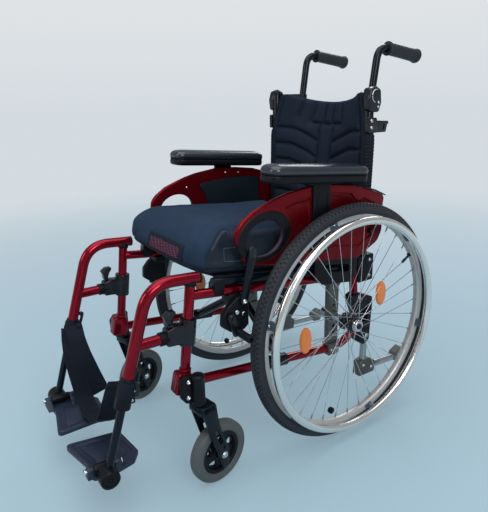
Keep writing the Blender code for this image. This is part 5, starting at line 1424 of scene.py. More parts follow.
def hanger_ends_shape():
    """The cap on the tube's rear end, the collar on the front upright and the pin that it hangs on."""
    along = (HANGER_REAR - HANGER_FRONT).normalized()
    cap = rod(HANGER_REAR - along * 0.004, HANGER_REAR + along * 0.0018, 0.0128, 36, edge=0.0012)
    top = side_point(FRONT_P, 0.2205)
    collar = rod(top + UPRIGHT_WAY * 0.0004, top + UPRIGHT_WAY * 0.0135, 0.0132, 36, edge=0.0014)
    pin = rod(top - UPRIGHT_WAY * 0.03, top + UPRIGHT_WAY * 0.004, 0.006, 24, edge=0.001)
    return joined(cap, collar, pin)


def leg_sleeve_shape():
    """A flared sleeve that closes on the foot tube, with the lug of its clamp at the rear."""
    heights = (0.26, 0.2605, 0.265, 0.27, 0.285, 0.305, 0.315, 0.3205, 0.322)
    radii = (0.0158, 0.0168, 0.0172, 0.0168, 0.0163, 0.0155, 0.0153, 0.0148, 0.0138)
    sleeve = sweep([leg_point(z) for z in heights], radii, 40)
    y = leg_point(0.28).y
    lug = block((FRAME_X - 0.006, y + 0.012, 0.264), (FRAME_X + 0.006, y + 0.0215, 0.302), 0.0022, 3)
    return joined(sleeve, lug)


def around(y, z, *offsets):
    """Corners given by their distance from one (y, z) place."""
    return [(y + along, z + up) for along, up in offsets]


def sleeve_hook_shape():
    """The hook lever at the back of the sleeve, on which the calf strap's end is looped."""
    corners = around(
        leg_point(0.29).y + 0.019, 0.296, (-0.004, -0.016), (0.006, -0.018), (0.011, -0.004),
        (0.009, 0.012), (0.003, 0.02), (-0.003, 0.018), (0.002, 0.006),
    )
    catch = plate(corners, 0.003, 4, FRAME_X - 0.0085, FRAME_X + 0.0085, 0.0016, 3)
    bends = (
        (0.284, 0.016), (0.292, 0.0205), (0.318, 0.0225), (0.3295, 0.0225), (0.3335, 0.018),
        (0.3275, 0.015),
    )
    path = arc_corners([leg_point(z) + Vector((0, out, 0)) for z, out in bends], 0.003, 4)
    return joined(catch, sweep(path, 0.0038, 20))


def hanger_clamp_shape():
    """A collar round the front upright, and the body that holds the hanger's cross tube."""
    corners = ((-0.48, 0.3665), (-0.432, 0.362), (-0.426, 0.402), (-0.46, 0.407), (-0.478, 0.402))
    body = plate(corners, 0.006, 5, FRAME_X - 0.0135, FRAME_X + 0.0135, 0.0028, 3)
    collar = on_upright(0.092, 0.15, 0.0185, 40, 0.0018)
    return joined(*[cut(piece, on_upright(0.07, 0.17, TUBE + 0.0008, 36)) for piece in (collar, body)])


def cross_socket_shape():
    """The ribbed black socket in which the hanger's cross tube ends."""
    start, end = in_plane(-0.4915, 0.3834), in_plane(-0.474, 0.3831)
    half = Vector((0, 0.0016, 0))
    middles = [start.lerp(end, share) for share in (0.08, 0.36, 0.64, 0.92)]
    rings = [rod(middle - half, middle + half, 0.0148, 32, edge=0.0006) for middle in middles]
    return joined(rod(start, end, 0.0136, 32, edge=0.0008), *rings)


def latch_shape():
    """The release lever: a knuckle with an axe-shaped head for the thumb."""
    y, z = -0.47, 0.4115
    knuckle = rod((FRAME_X - 0.009, y, z), (FRAME_X + 0.009, y, z), 0.0052, 24, edge=0.0006)
    corners = around(
        y, z, (-0.005, -0.001), (0.005, -0.001), (0.0052, 0.0085), (0.016, 0.022),
        (0.0156, 0.0275), (0.002, 0.0272), (-0.01, 0.019), (-0.006, 0.009),
    )
    return joined(knuckle, plate(corners, 0.0016, 4, FRAME_X - 0.009, FRAME_X + 0.009, 0.0014, 3))


def on_hanger(piece, name, finish_name, body="hanger", node=None):
    pair(piece, name, finish_name, body, node)


on_hanger(hanger_tube_shape(), "hanger_tube", "candy_red", node="hanger")
on_hanger(hanger_ends_shape(), "hanger_cap_and_collar", "moulded_black")
on_hanger(leg_sleeve_shape(), "leg_sleeve", "moulded_black")
on_hanger(sleeve_hook_shape(), "sleeve_hook", "smooth_black")
on_hanger(hanger_clamp_shape(), "hanger_clamp", "smooth_black", node="hanger_clamp")
on_hanger(cross_socket_shape(), "cross_socket", "moulded_black")
on_hanger(latch_shape(), "hanger_latch", "smooth_black", "hanger_latch", "hanger_lever")
sleeve_spots = around(leg_point(0.272).y, 0.272, (0.017, 0), (0.0225, 0.02))
on_hanger(screws(FRAME_X + 0.006, OUT, 0.0036, *sleeve_spots), "hanger_screws", "bright_steel")

# %% [markdown]
# Each footplate turns on a pin that runs fore and aft through the knuckle of the joint disc. The plate
# is a moulding with a raised rim and a sunk tread, so it is cut from its plan and its edges are eased.

# %% Foot tubes and footplates
DISC = leg_point(0.118)
TOE_UP = Matrix.Translation((0, DISC.y, DISC.z)) @ Matrix.Rotation(-radians(4), 4, "X")
TOE_UP = TOE_UP @ Matrix.Translation((0, -DISC.y, -DISC.z))
PIN_X, PIN_Z = 0.158, 0.126
PLATE_TOP = 0.1135
PLATE_PLAN = (
    (0.0245, -0.6722), (0.037, -0.549), (0.13, -0.54), (0.156, -0.56), (0.166, -0.598),
    (0.166, -0.655), (0.118, -0.652),
)
WELL_PLAN = (
    (0.0335, -0.661), (0.0455, -0.56), (0.124, -0.552), (0.1425, -0.569), (0.1465, -0.645),
    (0.112, -0.6425),
)
TREAD_PLAN = (
    (0.043, -0.648), (0.053, -0.569), (0.118, -0.563), (0.132, -0.577), (0.135, -0.633),
    (0.108, -0.631),
)


def hinge_rod(low_y, high_y, radius, sides=28, edge=0.0008):
    return rod((PIN_X, DISC.y + low_y, PIN_Z), (PIN_X, DISC.y + high_y, PIN_Z), radius, sides, edge=edge)


def foot_joint_shape():
    disc = spun([
        (0, 0.171), (0.019, 0.171), (0.0208, 0.1725), (0.021, 0.176), (0.021, 0.196),
        (0.0203, 0.1995), (0.018, 0.2015), (0.0145, 0.2022), (0.0138, 0.2008), (0, 0.2008),
    ], 56)
    placed(disc, Matrix.Translation((0, DISC.y, DISC.z)))
    arm = block((PIN_X, DISC.y - 0.016, PIN_Z - 0.0098), (0.173, DISC.y + 0.016, PIN_Z + 0.0085), 0.0028, 3)
    knuckle = hinge_rod(-0.022, 0.022, 0.01, 32)
    head = screws(0.2006, OUT, 0.0056, (DISC.y, DISC.z))
    return joined(disc, head, placed(joined(arm, knuckle), TOE_UP))


def hinge_pin_shape():
    return joined(
        hinge_rod(-0.0385, 0.0385, 0.004, 20), hinge_rod(-0.0408, -0.0375, 0.0056, 6),
        hinge_rod(0.0375, 0.0402, 0.0056, 6),
    )


def footplate_shape():
    """The moulding with its raised rim, the sunk well and the tread that stands in it."""
    body = plan_slab(rounded(PLATE_PLAN, 0.012, 6), PLATE_TOP - 0.012, PLATE_TOP, 0.0026, 4)
    well = plan_slab(rounded(WELL_PLAN, 0.01, 6), PLATE_TOP - 0.0022, PLATE_TOP + 0.01)
    line = plan_slab(rounded(TREAD_PLAN, 0.008, 6), PLATE_TOP - 0.0032, PLATE_TOP + 0.01)
    tread_plan = [Vector(p) * 0.995 + Vector((0.0005, -0.003)) for p in TREAD_PLAN]
    tread = plan_slab(rounded(tread_plan, 0.008, 6), 0.1, PLATE_TOP - 0.0012, 0.0005, 2)
    return eased(joined(cut(body, well, line), tread), 0.0006, 2, 40)


def footplate_ears_shape():
    """The two lugs round the hinge pin, each rising from the plate as a wedge."""
    corners = (
        (-PIN_X + 0.03, PLATE_TOP - 0.004), (-PIN_X - 0.0078, PLATE_TOP - 0.004),
        (-PIN_X - 0.0078, PIN_Z), (-PIN_X + 0.0035, PIN_Z + 0.0068),
    )
    made = []
    for low, high in ((0.0224, 0.0364), (-0.0364, -0.0224)):
        wedge = slab(corners, DISC.y + low + 0.0003, DISC.y + high - 0.0003, 0.001, 2)
        placed(wedge, Matrix.Rotation(pi / 2, 4, "Z"))
        made += [hinge_rod(low, high, 0.0084, 32, 0.0012), wedge]
    return joined(*made)


pair(rod(leg_point(0.347), DISC, 0.0085, 32), "foot_tube", "powder_black", "foot_tube", "foot_tube")
pair(foot_joint_shape(), "foot_joint", "moulded_black", "foot_tube")
pair(placed(hinge_pin_shape(), TOE_UP), "foot_hinge_pin", "bright_steel", "foot_tube")
pair(placed(footplate_shape(), TOE_UP), "footplate", "footplate_grey", "footplate", "footplate")
pair(placed(footplate_ears_shape(), TOE_UP), "footplate_ears", "footplate_grey", "footplate")

# %% [markdown]
# ## Brakes
# Pulling the lever pushes the shoe's arm against the tyre. Lever and arm are flat bars that turn on
# two pins of the moulded housing, which is clamped to the upper rail.

# %% Brake
BAR_IN, BAR_OUT = 0.212, 0.217
LEVER_PIN, LEVER_TIP = (-0.302, 0.431), (-0.275, 0.539)
SHOE_PIN, ROLLER = (-0.337, 0.402), (-0.3185, 0.362)
ROLLER_RIBS = 9


def brake_housing_shape():
    corners = (
        (-0.3565, 0.381), (-0.354, 0.408), (-0.34, 0.424), (-0.318, 0.44), (-0.296, 0.444),
        (-0.287, 0.424), (-0.287, 0.371), (-0.3, 0.361), (-0.334, 0.363),
    )
    body = plate(corners, 0.009, 6, 0.1945, 0.2105, 0.0034, 4)
    rail_z = side_point(-0.13, RAIL_Q).z
    clamp = block((FRAME_X - 0.0145, -0.33, rail_z - 0.0215), (0.1985, -0.298, rail_z - 0.001), 0.003, 3)
    return joined(body, cut(clamp, along_rail(-0.2, -0.05, RAIL_Q, FRAME_X, TUBE + 0.0005, 32)))


def brake_lever_shape():
    pivot = around(*LEVER_PIN, (-0.01, 0.002), (-0.006, -0.01), (0.008, -0.009), (0.011, 0.006))
    tip = around(*LEVER_TIP, (0.0085, -0.004), (0.007, 0.008), (-0.008, 0.011), (-0.012, 0.002))
    return plate(pivot + tip, 0.005, 6, BAR_IN, BAR_OUT, 0.0012, 3)


def lever_tip_shape():
    """The moulded end that the hand finds first."""
    corners = around(
        *LEVER_TIP, (-0.0122, -0.014), (0.0052, -0.018), (0.0088, 0.004), (-0.0004, 0.0125),
        (-0.012, 0.009),
    )
    return plate(corners, 0.006, 6, BAR_IN - 0.001, BAR_OUT + 0.0012, 0.0022, 3)


def shoe_arm_shape():
    top = around(*SHOE_PIN, (-0.0095, 0), (-0.006, 0.008), (0.006, 0.008), (0.01, -0.002))
    foot = around(*ROLLER, (0.0105, 0.006), (0.008, -0.01), (-0.013, -0.008))
    return plate(top + foot, 0.004, 5, BAR_IN, BAR_OUT, 0.001, 3)


def shoe_roller_shape():
    """The knurled roller that bears on the tyre, with the hole of its screw in the end."""
    profile = [(0, 0.213), (0.0086, 0.213), (0.009, 0.2136)]
    for index in range(ROLLER_RIBS):
        x = 0.219 + index * 0.0046
        profile += [(0.009, x), (0.0083, x + 0.0006), (0.0083, x + 0.0014), (0.009, x + 0.002)]
    profile += [(0.009, 0.2606), (0.0082, 0.262), (0.0042, 0.262), (0.004, 0.257), (0, 0.257)]
    return placed(spun(profile, 32), Matrix.Translation((0, *ROLLER)))


def brake_pin(spot):
    return rod((0.2095, *spot), (0.2172, *spot), 0.0035, 20)


pair(brake_housing_shape(), "brake_housing", "moulded_black", node="brake_housing")
housing_nuts = screws(0.2105, OUT, 0.0056, (-0.32, 0.4085), (-0.302, 0.401), head=HEX_HEAD)
brake_bolts = joined(screws(0.2168, OUT, 0.006, LEVER_PIN), housing_nuts, brake_pin(LEVER_PIN))
shoe_pin = joined(screws(0.2168, OUT, 0.006, SHOE_PIN), brake_pin(SHOE_PIN))
pair(brake_bolts, "brake_bolts", "bright_steel")
pair(shoe_pin, "brake_shoe_pin", "smooth_black")
pair(brake_lever_shape(), "brake_lever", "powder_black", "brake_lever", "brake_lever")
pair(lever_tip_shape(), "brake_lever_tip", "smooth_black", "brake_lever")
pair(shoe_arm_shape(), "brake_shoe_arm", "smooth_black", "brake_shoe", "brake_shoe")
pair(shoe_roller_shape(), "brake_roller", "moulded_black", "brake_shoe")

# %% [markdown]
# ## Backrest posts and push handles
# The upright posts carry the back cloth. The handle's tube slides in two lugs behind each post, bends
# backwards at the top and ends in a soft grip.

# %% Posts, lugs, handles and grips
GRIP_START, GRIP_END = Vector((HANDLE_X, 0.214, 0.966)), Vector((HANDLE_X, 0.335, 0.95))
FINGER_GROOVES = 14


def lug_shape(low_z, high_z):
    """One flat lug with round ends, which holds the handle's tube behind the post."""
    middle_y = handle_point((low_z + high_z) / 2).y
    post, handle = Vector((FRAME_X, POST_Y)), Vector((HANDLE_X, middle_y))
    reach = (handle - post).normalized()
    side = Vector((-reach.y, reach.x))
    outline = []
    for centre, radius, start in ((handle, 0.0142, -pi / 2), (post, 0.0166, pi / 2)):
        for step in range(17):
            angle = start + pi * step / 16
            outline.append(centre + (reach * cos(angle) + side * sin(angle)) * radius)
    body = plan_slab(outline, low_z, high_z, 0.0022, 3)
    front = block((0.05, 0.0, low_z - 0.01), (0.25, POST_Y + 0.0035, high_z + 0.01))
    return cut(body, front, rod(handle_point(0.74), handle_point(0.89), 0.0103, 32))


def post_fittings_shape():
    foot = block((FRAME_X - 0.0148, 0.0765, 0.376), (FRAME_X + 0.0148, 0.136, 0.45), 0.005, 4)
    upright = rod(UPRIGHT_FOOT, in_plane(0.0695, 0.44), TUBE + 0.0024, 32)
    crown = [(0.0134, 0.864), (0.012, 0.8675), (0.0085, 0.87), (0, 0.8712)]
    cap = spun([(0, 0.858), (0.0134, 0.858)] + crown, 40)
    placed(cap, Matrix.Translation((FRAME_X, POST_Y, 0)) @ Matrix.Rotation(-pi / 2, 4, "Y"))
    return joined(cut(foot, upright), cap, lug_shape(0.766, 0.792), lug_shape(0.822, 0.86))


def post_clamps_shape():
    """The moulded clamp at the post's top, and the bracket below it with the block behind."""
    top_corners = (
        (0.0885, 0.815), (0.085, 0.845), (0.092, 0.868), (0.112, 0.874), (0.128, 0.866),
        (0.132, 0.835), (0.124, 0.812),
    )
    bracket_corners = ((0.088, 0.764), (0.088, 0.803), (0.118, 0.8), (0.124, 0.764))
    tail_corners = (
        (0.112, 0.764), (0.112, 0.794), (0.162, 0.791), (0.166, 0.786), (0.16, 0.781),
        (0.156, 0.764),
    )
    recess_corners = ((0.13, 0.77), (0.13, 0.786), (0.15, 0.7845), (0.148, 0.77))
    top = plate(top_corners, 0.01, 6, FRAME_X - 0.002, FRAME_X + 0.017, 0.0052, 5)
    bracket = plate(bracket_corners, 0.005, 4, FRAME_X + 0.006, FRAME_X + 0.0165, 0.002, 3)
    tail = plate(tail_corners, 0.0025, 3, FRAME_X - 0.004, FRAME_X + 0.0135, 0.0018, 3)
    recess = plate(recess_corners, 0.002, 2, FRAME_X + 0.0118, FRAME_X + 0.03)
    return joined(top, bracket, cut(tail, recess))


def clamp_arc_shape():
    """The bright spring clip let into the top clamp's outer face."""
    turns = [radians(75 + step * 10) for step in range(19)]
    points = [in_plane(0.11 + 0.0135 * cos(a), 0.851 + 0.015 * sin(a), FRAME_X + 0.0168) for a in turns]
    return sweep(points, 0.0015, 12)


def handle_shape():
    corners = [handle_point(0.69), handle_point(0.97), Vector((HANDLE_X, 0.327, 0.9518))]
    return sweep(arc_corners(corners, 0.035, 14), 0.0095, 32)


def grip_shape():
    """A soft tube that flares at both ends and droops a little, with shallow grooves for the fingers."""
    along = GRIP_END - GRIP_START
    length = along.length
    profile = [
        (0, 0), (0.01, 0.0), (0.0168, 0.0), (0.0176, 0.0008), (0.0178, 0.0042), (0.0172, 0.0056),
        (0.015, 0.0074), (0.0143, 0.011),
    ]
    for index in range(FINGER_GROOVES):
        at = 0.018 + index * 0.0062
        swell = 0.015 + 0.0012 * (at / length) ** 2
        profile += [
            (swell, at), (swell + 0.0004, at + 0.0016), (swell + 0.0004, at + 0.004), (swell, at + 0.0052),
        ]
    profile += [
        (0.0168, length - 0.014), (0.0184, length - 0.0085), (0.0187, length - 0.006),
        (0.0181, length - 0.003), (0.016, length - 0.0008), (0.013, length), (0, length),
    ]
    turn = along.to_track_quat("X", "Z").to_matrix().to_4x4()
    return placed(spun(profile, 40), Matrix.Translation(GRIP_START) @ turn)


post_tube = rod((FRAME_X, POST_Y, 0.378), (FRAME_X, POST_Y, 0.862), 0.0125, 36, edge=0.001)
pair(post_tube, "backrest_post", "powder_black", node="backrest_post")
pair(post_fittings_shape(), "post_fittings", "moulded_black")
pair(post_clamps_shape(), "post_clamps", "smooth_black")
post_bolts = joined(
    screws(FRAME_X + 0.017, OUT, 0.0036, (0.119, 0.836), (0.119, 0.825)),
    screws(FRAME_X + 0.0165, OUT, 0.0046, (0.0985, 0.793), (0.0985, 0.777)),
    screws(FRAME_X + 0.0148, OUT, 0.0052, (0.118, 0.436), (0.118, 0.392)),
    clamp_arc_shape(),
)
pair(post_bolts, "post_bolts", "bright_steel")
pair(handle_shape(), "push_handle", "powder_black", "handle", "push_handle")
pair(grip_shape(), "push_grip", "grip_rubber", "handle", "push_grip", sharp=25)
print("guards, footrests, brakes and backrest tubes are in place")

# %% [markdown]
# ## Cushion
# A sewn cover over foam: it is full in the middle of each side, drawn in at the corners and pulled
# down along its seams. The closed form comes first. A short cloth simulation then blows it up a
# little from inside, which rounds the panels the way the foam does, and the seams are sunk last.

# %% Soft shapes
BASE_Q = 0.2368
GUARD_CLEAR = 0.1976
CLOTH_FRAMES = 18
VOXEL = 0.006


def folding(piece):
    """Gives the piece a mesh of its own."""
    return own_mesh(piece)


def soft(piece, name, finish_name, nodes=(), sharp=35):
    """A soft piece between the side frames, carried by the right frame's body with a mesh of its own."""
    dress(piece, name, "frame_right", finish_name, nodes, sharp)
    folding(piece)
    return piece


def grid_solid(columns, rows, over, under):
    """A closed solid between two sheets of points, each worked out from (u, v) in 0 to 1."""
    bm = bmesh.new()
    sheets = []
    for make_point in (over, under):
        bmesh.ops.create_grid(bm, x_segments=columns, y_segments=rows, size=0.5)
        fresh = [v for v in bm.verts if not v.tag]
        for vert in fresh:
            vert.tag = True
            vert.co = make_point(vert.co.x + 0.5, vert.co.y + 0.5)
        sheets.append(fresh)
    borders = []
    for fresh in sheets:
        own = set(fresh)
        borders.append([e for e in bm.edges if e.is_boundary and e.verts[0] in own])
    bmesh.ops.bridge_loops(bm, edges=borders[0] + borders[1])
    return shape_from(bm)


def edge_share(value, reach):
    """0 at an edge of the 0 to 1 range, rising as a quarter circle to 1 at the given reach."""
    inset = min(value, 1 - value) / reach
    return 1.0 if inset >= 1 else sqrt(max(0.0, 1 - (1 - inset) ** 2))


def crowd(value, lean=0.6):
    """Crowds the columns of a grid towards both edges, where the surface turns down."""
    centred = 2 * value - 1
    return 0.5 + 0.5 * (centred * (1 - lean) + lean * sin(centred * pi / 2))


def puffed(piece, pressure, reach, pinned):
    """Blows the closed shape up with a cloth simulation, each point moved by no more than the reach."""
    remesh = piece.modifiers.new("remesh", "REMESH")
    remesh.mode = "VOXEL"
    remesh.voxel_size = VOXEL
    settled(piece)
    start = [v.co.copy() for v in piece.data.vertices]
    held = piece.vertex_groups.new(name="held")
    held.add([v.index for v in piece.data.vertices if pinned(v.co)], 1.0, "REPLACE")
    cloth = piece.modifiers.new("cloth", "CLOTH")
    for key, value in {
        "quality": 5, "mass": 0.3, "use_pressure": True, "uniform_pressure_force": pressure,
        "vertex_group_mass": "held", "tension_stiffness": 12, "compression_stiffness": 12,
        "bending_stiffness": 0.6,
    }.items():
        setattr(cloth.settings, key, value)
    cloth.settings.effector_weights.gravity = 0
    cloth.collision_settings.use_collision = False
    for frame_number in range(1, CLOTH_FRAMES + 1):
        bpy.context.scene.frame_set(frame_number)
    settled(piece)
    for vert, before in zip(piece.data.vertices, start):
        move = vert.co - before
        if move.length > reach:
            vert.co = before + move.normalized() * reach
    bpy.context.scene.frame_set(1)
    smooth = piece.modifiers.new("smooth", "CORRECTIVE_SMOOTH")
    smooth.iterations = 4
    smooth.use_only_smooth = True
    return settled(piece)


def line_gap(point, line):
    """How far a flat point lies from a line of points."""
    best = 1.0
    for start, end in zip(line, line[1:]):
        start, end = Vector(start), Vector(end)
        run = end - start
        share = max(0.0, min(1.0, (point - start).dot(run) / run.length_squared))
        best = min(best, (point - start - run * share).length)
    return best


def sunk(gap, width, depth):
    """Depth of a seam's valley at this distance from its line."""
    share = gap / width
    return 0.0 if share >= 3 else depth / (1 + share * share) ** 2


# %% [markdown]
# The cushion follows the rails, so its points are worked out along the rail (p), up from the seat
# (h) and across (x). The side panels are cut with a round front corner, as in the photo.

# %% Cushion
PANEL_CORNER = Vector((-0.146, 0.026))
PANEL_ROUND = 0.07
PANEL_TOP = 0.096
PANEL_FRONT = -0.216
BASE_SEAM = 0.0145
PANEL_LINE = [(0.2, 0.101), (-0.14, PANEL_TOP)]
for turn in range(92, 181, 8):
    way = Vector((cos(radians(turn)), sin(radians(turn))))
    PANEL_LINE.append(PANEL_CORNER + PANEL_ROUND * way)
PANEL_LINE.append((PANEL_FRONT, 0.014))


def cushion_shape():
    def plan(u, v):
        u, v = crowd(u), crowd(v)
        across, along = 2 * u - 1, 2 * v - 1
        corner = 1 - 0.045 * (abs(across) ** 6) * (abs(along) ** 6)
        waist = 1 - 0.016 * (1 - along * along)
        return u, v, across * 0.1925 * corner * waist, -0.243 + 0.462 * (0.5 + 0.5 * along * corner)

    def over(u, v):
        u, v, x, p = plan(u, v)
        height = 0.091 + 0.02 * v
        shoulder = edge_share(u, 0.13) * edge_share(v, 0.12)
        dish = 0.008 * max(0.0, 1 - ((u - 0.5) / 0.36) ** 2) * max(0.0, 1 - ((v - 0.6) / 0.4) ** 2)
        return side_point(p, BASE_Q + height * (0.5 + 0.5 * shoulder) - dish, x)

    def under(u, v):
        u, v, x, p = plan(u, v)
        lift = 0.02 * (1 - edge_share(u, 0.06) * edge_share(v, 0.07))
        return side_point(p, BASE_Q + 0.001 + lift, x * 0.995)

    return grid_solid(64, 56, over, under)


def seat_place(point):
    """The cushion's own measures of a point: p along the rails and h above its base."""
    y, z = point.y + 0.19, point.z - 0.2325
    return y * cos(TILT) - z * sin(TILT), y * sin(TILT) + z * cos(TILT) - BASE_Q


def in_side_panel(p, h):
    corner = Vector((p, h)) - PANEL_CORNER
    if h > PANEL_TOP + 0.0146 * max(0.0, corner.x) or p < PANEL_FRONT:
        return False
    return not (corner.x < 0 and corner.y > 0 and corner.length > PANEL_ROUND)


def sew_cushion(piece):
    """Sinks the seams and adds the cover's shallow folds."""
    bm = bmesh.new()
    bm.from_mesh(piece.data)
    bm.normal_update()
    for vert in bm.verts:
        p, h = seat_place(vert.co)
        outward = vert.normal
        depth = 0.0
        if abs(vert.co.x) > 0.15:
            depth += sunk(line_gap(Vector((p, h)), PANEL_LINE), 0.0035, 0.0026)
        depth += sunk(abs(h - BASE_SEAM), 0.003, 0.003) if h < 0.04 else 0.0
        fold = noise.noise(Vector((vert.co.x * 9, p * 5, h * 12)))
        fine = noise.noise(Vector((vert.co.x * 34 + 7, p * 22, h * 30)))
        lift = 0.0016 * fold + 0.0005 * fine if h > 0.03 else 0.0
        vert.co += outward * (lift - depth)
        vert.co.x = max(-GUARD_CLEAR, min(GUARD_CLEAR, vert.co.x))
    bm.to_mesh(piece.data)
    bm.free()
    return piece


def cover_marks(piece):
    """2 for the dark base, 1 for each face that lies in a side panel and 0 for the others."""
    marks = []
    for face in piece.data.polygons:
        p, h = seat_place(face.center)
        marks.append(2 if h < BASE_SEAM else int(abs(face.center.x) > 0.155 and in_side_panel(p, h)))
    return marks


cushion = cushion_shape()
cushion = puffed(cushion, 4.0, 0.008, lambda point: seat_place(point)[1] < 0.006)
divide = cushion.modifiers.new("divide", "SUBSURF")
divide.levels = divide.render_levels = 1
cushion = sew_cushion(settled(cushion))
marks = cover_marks(cushion)
surface = BVHTree.FromObject(cushion, bpy.context.evaluated_depsgraph_get())
dress(cushion, "cushion", "frame_right", "mesh_navy", ["cushion"], sharp=60)
for name in ("coated_navy", "webbing_black"):
    cushion.data.materials.append(FINISH[name][0])
cushion.data.polygons.foreach_set("material_index", marks)
folding(cushion)
print(f"cushion of {len(cushion.data.polygons)} faces")

# %% [markdown]
# A ventilated patch with wavy purple stitching is sewn on the cushion's nose. Patch and threads are
# laid on the finished surface: each of their points is found by looking at the cushion from outside.

# %% Nose patch and label place
THREADS = 8
THREAD_STEPS = 84


def on_nose(x, h, above):
    """The point of the cushion's front face at this place, lifted off the cover by a little."""
    spot, normal = surface.ray_cast(side_point(-0.4, BASE_Q + h, x), RAIL_WAY)[:2]
    return spot + normal * above


def on_side(p, h, above):
    spot, normal = surface.ray_cast(side_point(p, BASE_Q + h, 0.3), IN)[:2]
    return spot + normal * above


def patch_shape(place, low, high, thickness):
    """A thin sewn-on piece whose corners are (across, up) places on the surface."""
    def sheet(above):
        def point(u, v):
            return place(low[0] + (high[0] - low[0]) * u, low[1] + (high[1] - low[1]) * v, above)
        return point
    return grid_solid(30, 10, sheet(thickness), sheet(-0.0006))


def stitch_shape(place, points, above, radius):
    return sweep([place(a, b, above) for a, b in points], radius, 5)


def border_shape(place, low, high, above, radius, per_side=26):
    """A line of stitching round the rectangle between two corners."""
    corners = [low, (high[0], low[1]), high, (low[0], high[1]), low]
    points = []
    for start, end in zip(corners, corners[1:]):
        for step in range(per_side):
            share = step / per_side
            points.append([a + (b - a) * share for a, b in zip(start, end)])
    return stitch_shape(place, points, above, radius)


def nose_threads_shape():
    lines = []
    for index in range(THREADS):
        points = []
        for step in range(THREAD_STEPS + 1):
            wave = 0.0011 * sin(step * 2 * pi / 9.5 + index * 1.1)
            points.append((-0.044 + 0.142 * step / THREAD_STEPS, 0.0215 + index * 0.003 + wave))
        lines.append(stitch_shape(on_nose, points, 0.0014, 0.00055))
    return joined(*lines)


soft(patch_shape(on_nose, (-0.054, 0.0175), (0.118, 0.053), 0.0012), "nose_patch", "back_knit")
soft(nose_threads_shape(), "nose_threads", "purple_thread")
edge_line = joined(
    border_shape(on_nose, (-0.051, 0.0192), (0.115, 0.0508), 0.0012, 0.0004),
    border_shape(on_nose, (-0.046, 0.0195), (0.1, 0.0455), 0.0012, 0.0005),
)
soft(edge_line, "nose_patch_stitching", "seam_thread")
soft(patch_shape(on_side, (-0.178, 0.029), (-0.118, 0.06), 0.0006), "label_place", "coated_navy")
label_line = border_shape(on_side, (-0.176, 0.0305), (-0.12, 0.0585), 0.0007, 0.0005)
soft(label_line, "label_stitching", "tab_grey")

# %% [markdown]
# The sling under the cushion is stretched between the seat tubes and sags in the middle, where the
# weight of the cushion rests on it.

# %% Seat sling
SLING_HALF = 0.186


def sling_shape():
    def sheet(height):
        def point(u, v):
            x = (2 * u - 1) * SLING_HALF
            across = abs(2 * u - 1) * SLING_HALF / 0.168
            drop = 0 if across > 1 else 0.012 * (1 - across ** 2)
            hem = 0.0006 if min(v, 1 - v) < 0.045 and height else 0.0
            q = SEAT_Q + TUBE + 0.0004 + height + hem * 0.6 - drop
            return side_point(-0.196 + v * 0.4075, q, x)
        return point
    return grid_solid(48, 44, sheet(0.0028), sheet(0))


sling = soft(sling_shape(), "seat_sling", "webbing_black", ["seat_sling"])

# %% [markdown]
# ## Backrest cloth
# The padded cloth is sewn into panels: upright ones along the dipped top edge, a strap down the
# middle and slanting ones to both sides. Between the seams the padding stands forward, so each point
# of the front face is pushed in by its distance from the nearest seam line.

# %% Backrest upholstery
BACK_LOW, BACK_TOP = 0.5, 0.865
BACK_HALF = 0.162
WRAP_SHARE = 0.12
SLANTS = ((0.025, 0.0), (0.06, 0.0145), (0.092, 0.027), (0.12, 0.0355), (0.19, 0.039))
BACK_SEAMS = [[(-0.101, 0.856), (-0.108, 0.8)]]
for side in (1, -1):
    BACK_SEAMS += [
        [(side * 0.0245, 0.5), (side * 0.025, 0.7), (side * 0.0285, 0.777)],
        [(0.0, 0.777), (side * 0.06, 0.78), (side * 0.064, 0.786)],
        [(side * 0.018, 0.777), (side * 0.016, 0.85)],
        [(side * 0.062, 0.783), (side * 0.056, 0.85)],
    ]
    for height in (0.729, 0.684, 0.638, 0.592, 0.546):
        BACK_SEAMS.append([(side * across, height + up) for across, up in SLANTS])


def back_middle_y(x, z):
    """The cloth's middle surface: it is slack, so it bows back between the posts."""
    bow = 0.034 * max(0.0, 1 - (abs(x) / FRAME_X) ** 2)
    return 0.0845 + bow - 0.004 * sin(pi * (z - BACK_LOW) / (BACK_TOP - BACK_LOW))


def leaning(point):
    """Draws a point of the cloth back, most of all in the middle, and its upper corners inwards."""
    share = max(0.0, (point.z - 0.62) / (BACK_TOP - 0.62))
    corner = max(0.0, (point.z - 0.74) / (BACK_TOP - 0.74)) ** 1.4
    slack = max(0.0, 1 - (point.x / FRAME_X) ** 2)
    back = share ** 0.8 * (0.006 + 0.031 * slack) + 0.012 * corner
    return Vector((point.x * (1 - 0.165 * corner), point.y + back, point.z))


def seam_gap(x, z):
    return min(line_gap(Vector((x, z)), line) for line in BACK_SEAMS)


def round_post(side, reach, angle, z):
    """A point round the post, its angle measured from the front towards the outside."""
    return Vector((side * (FRAME_X + reach * sin(angle)), POST_Y - reach * cos(angle), z))


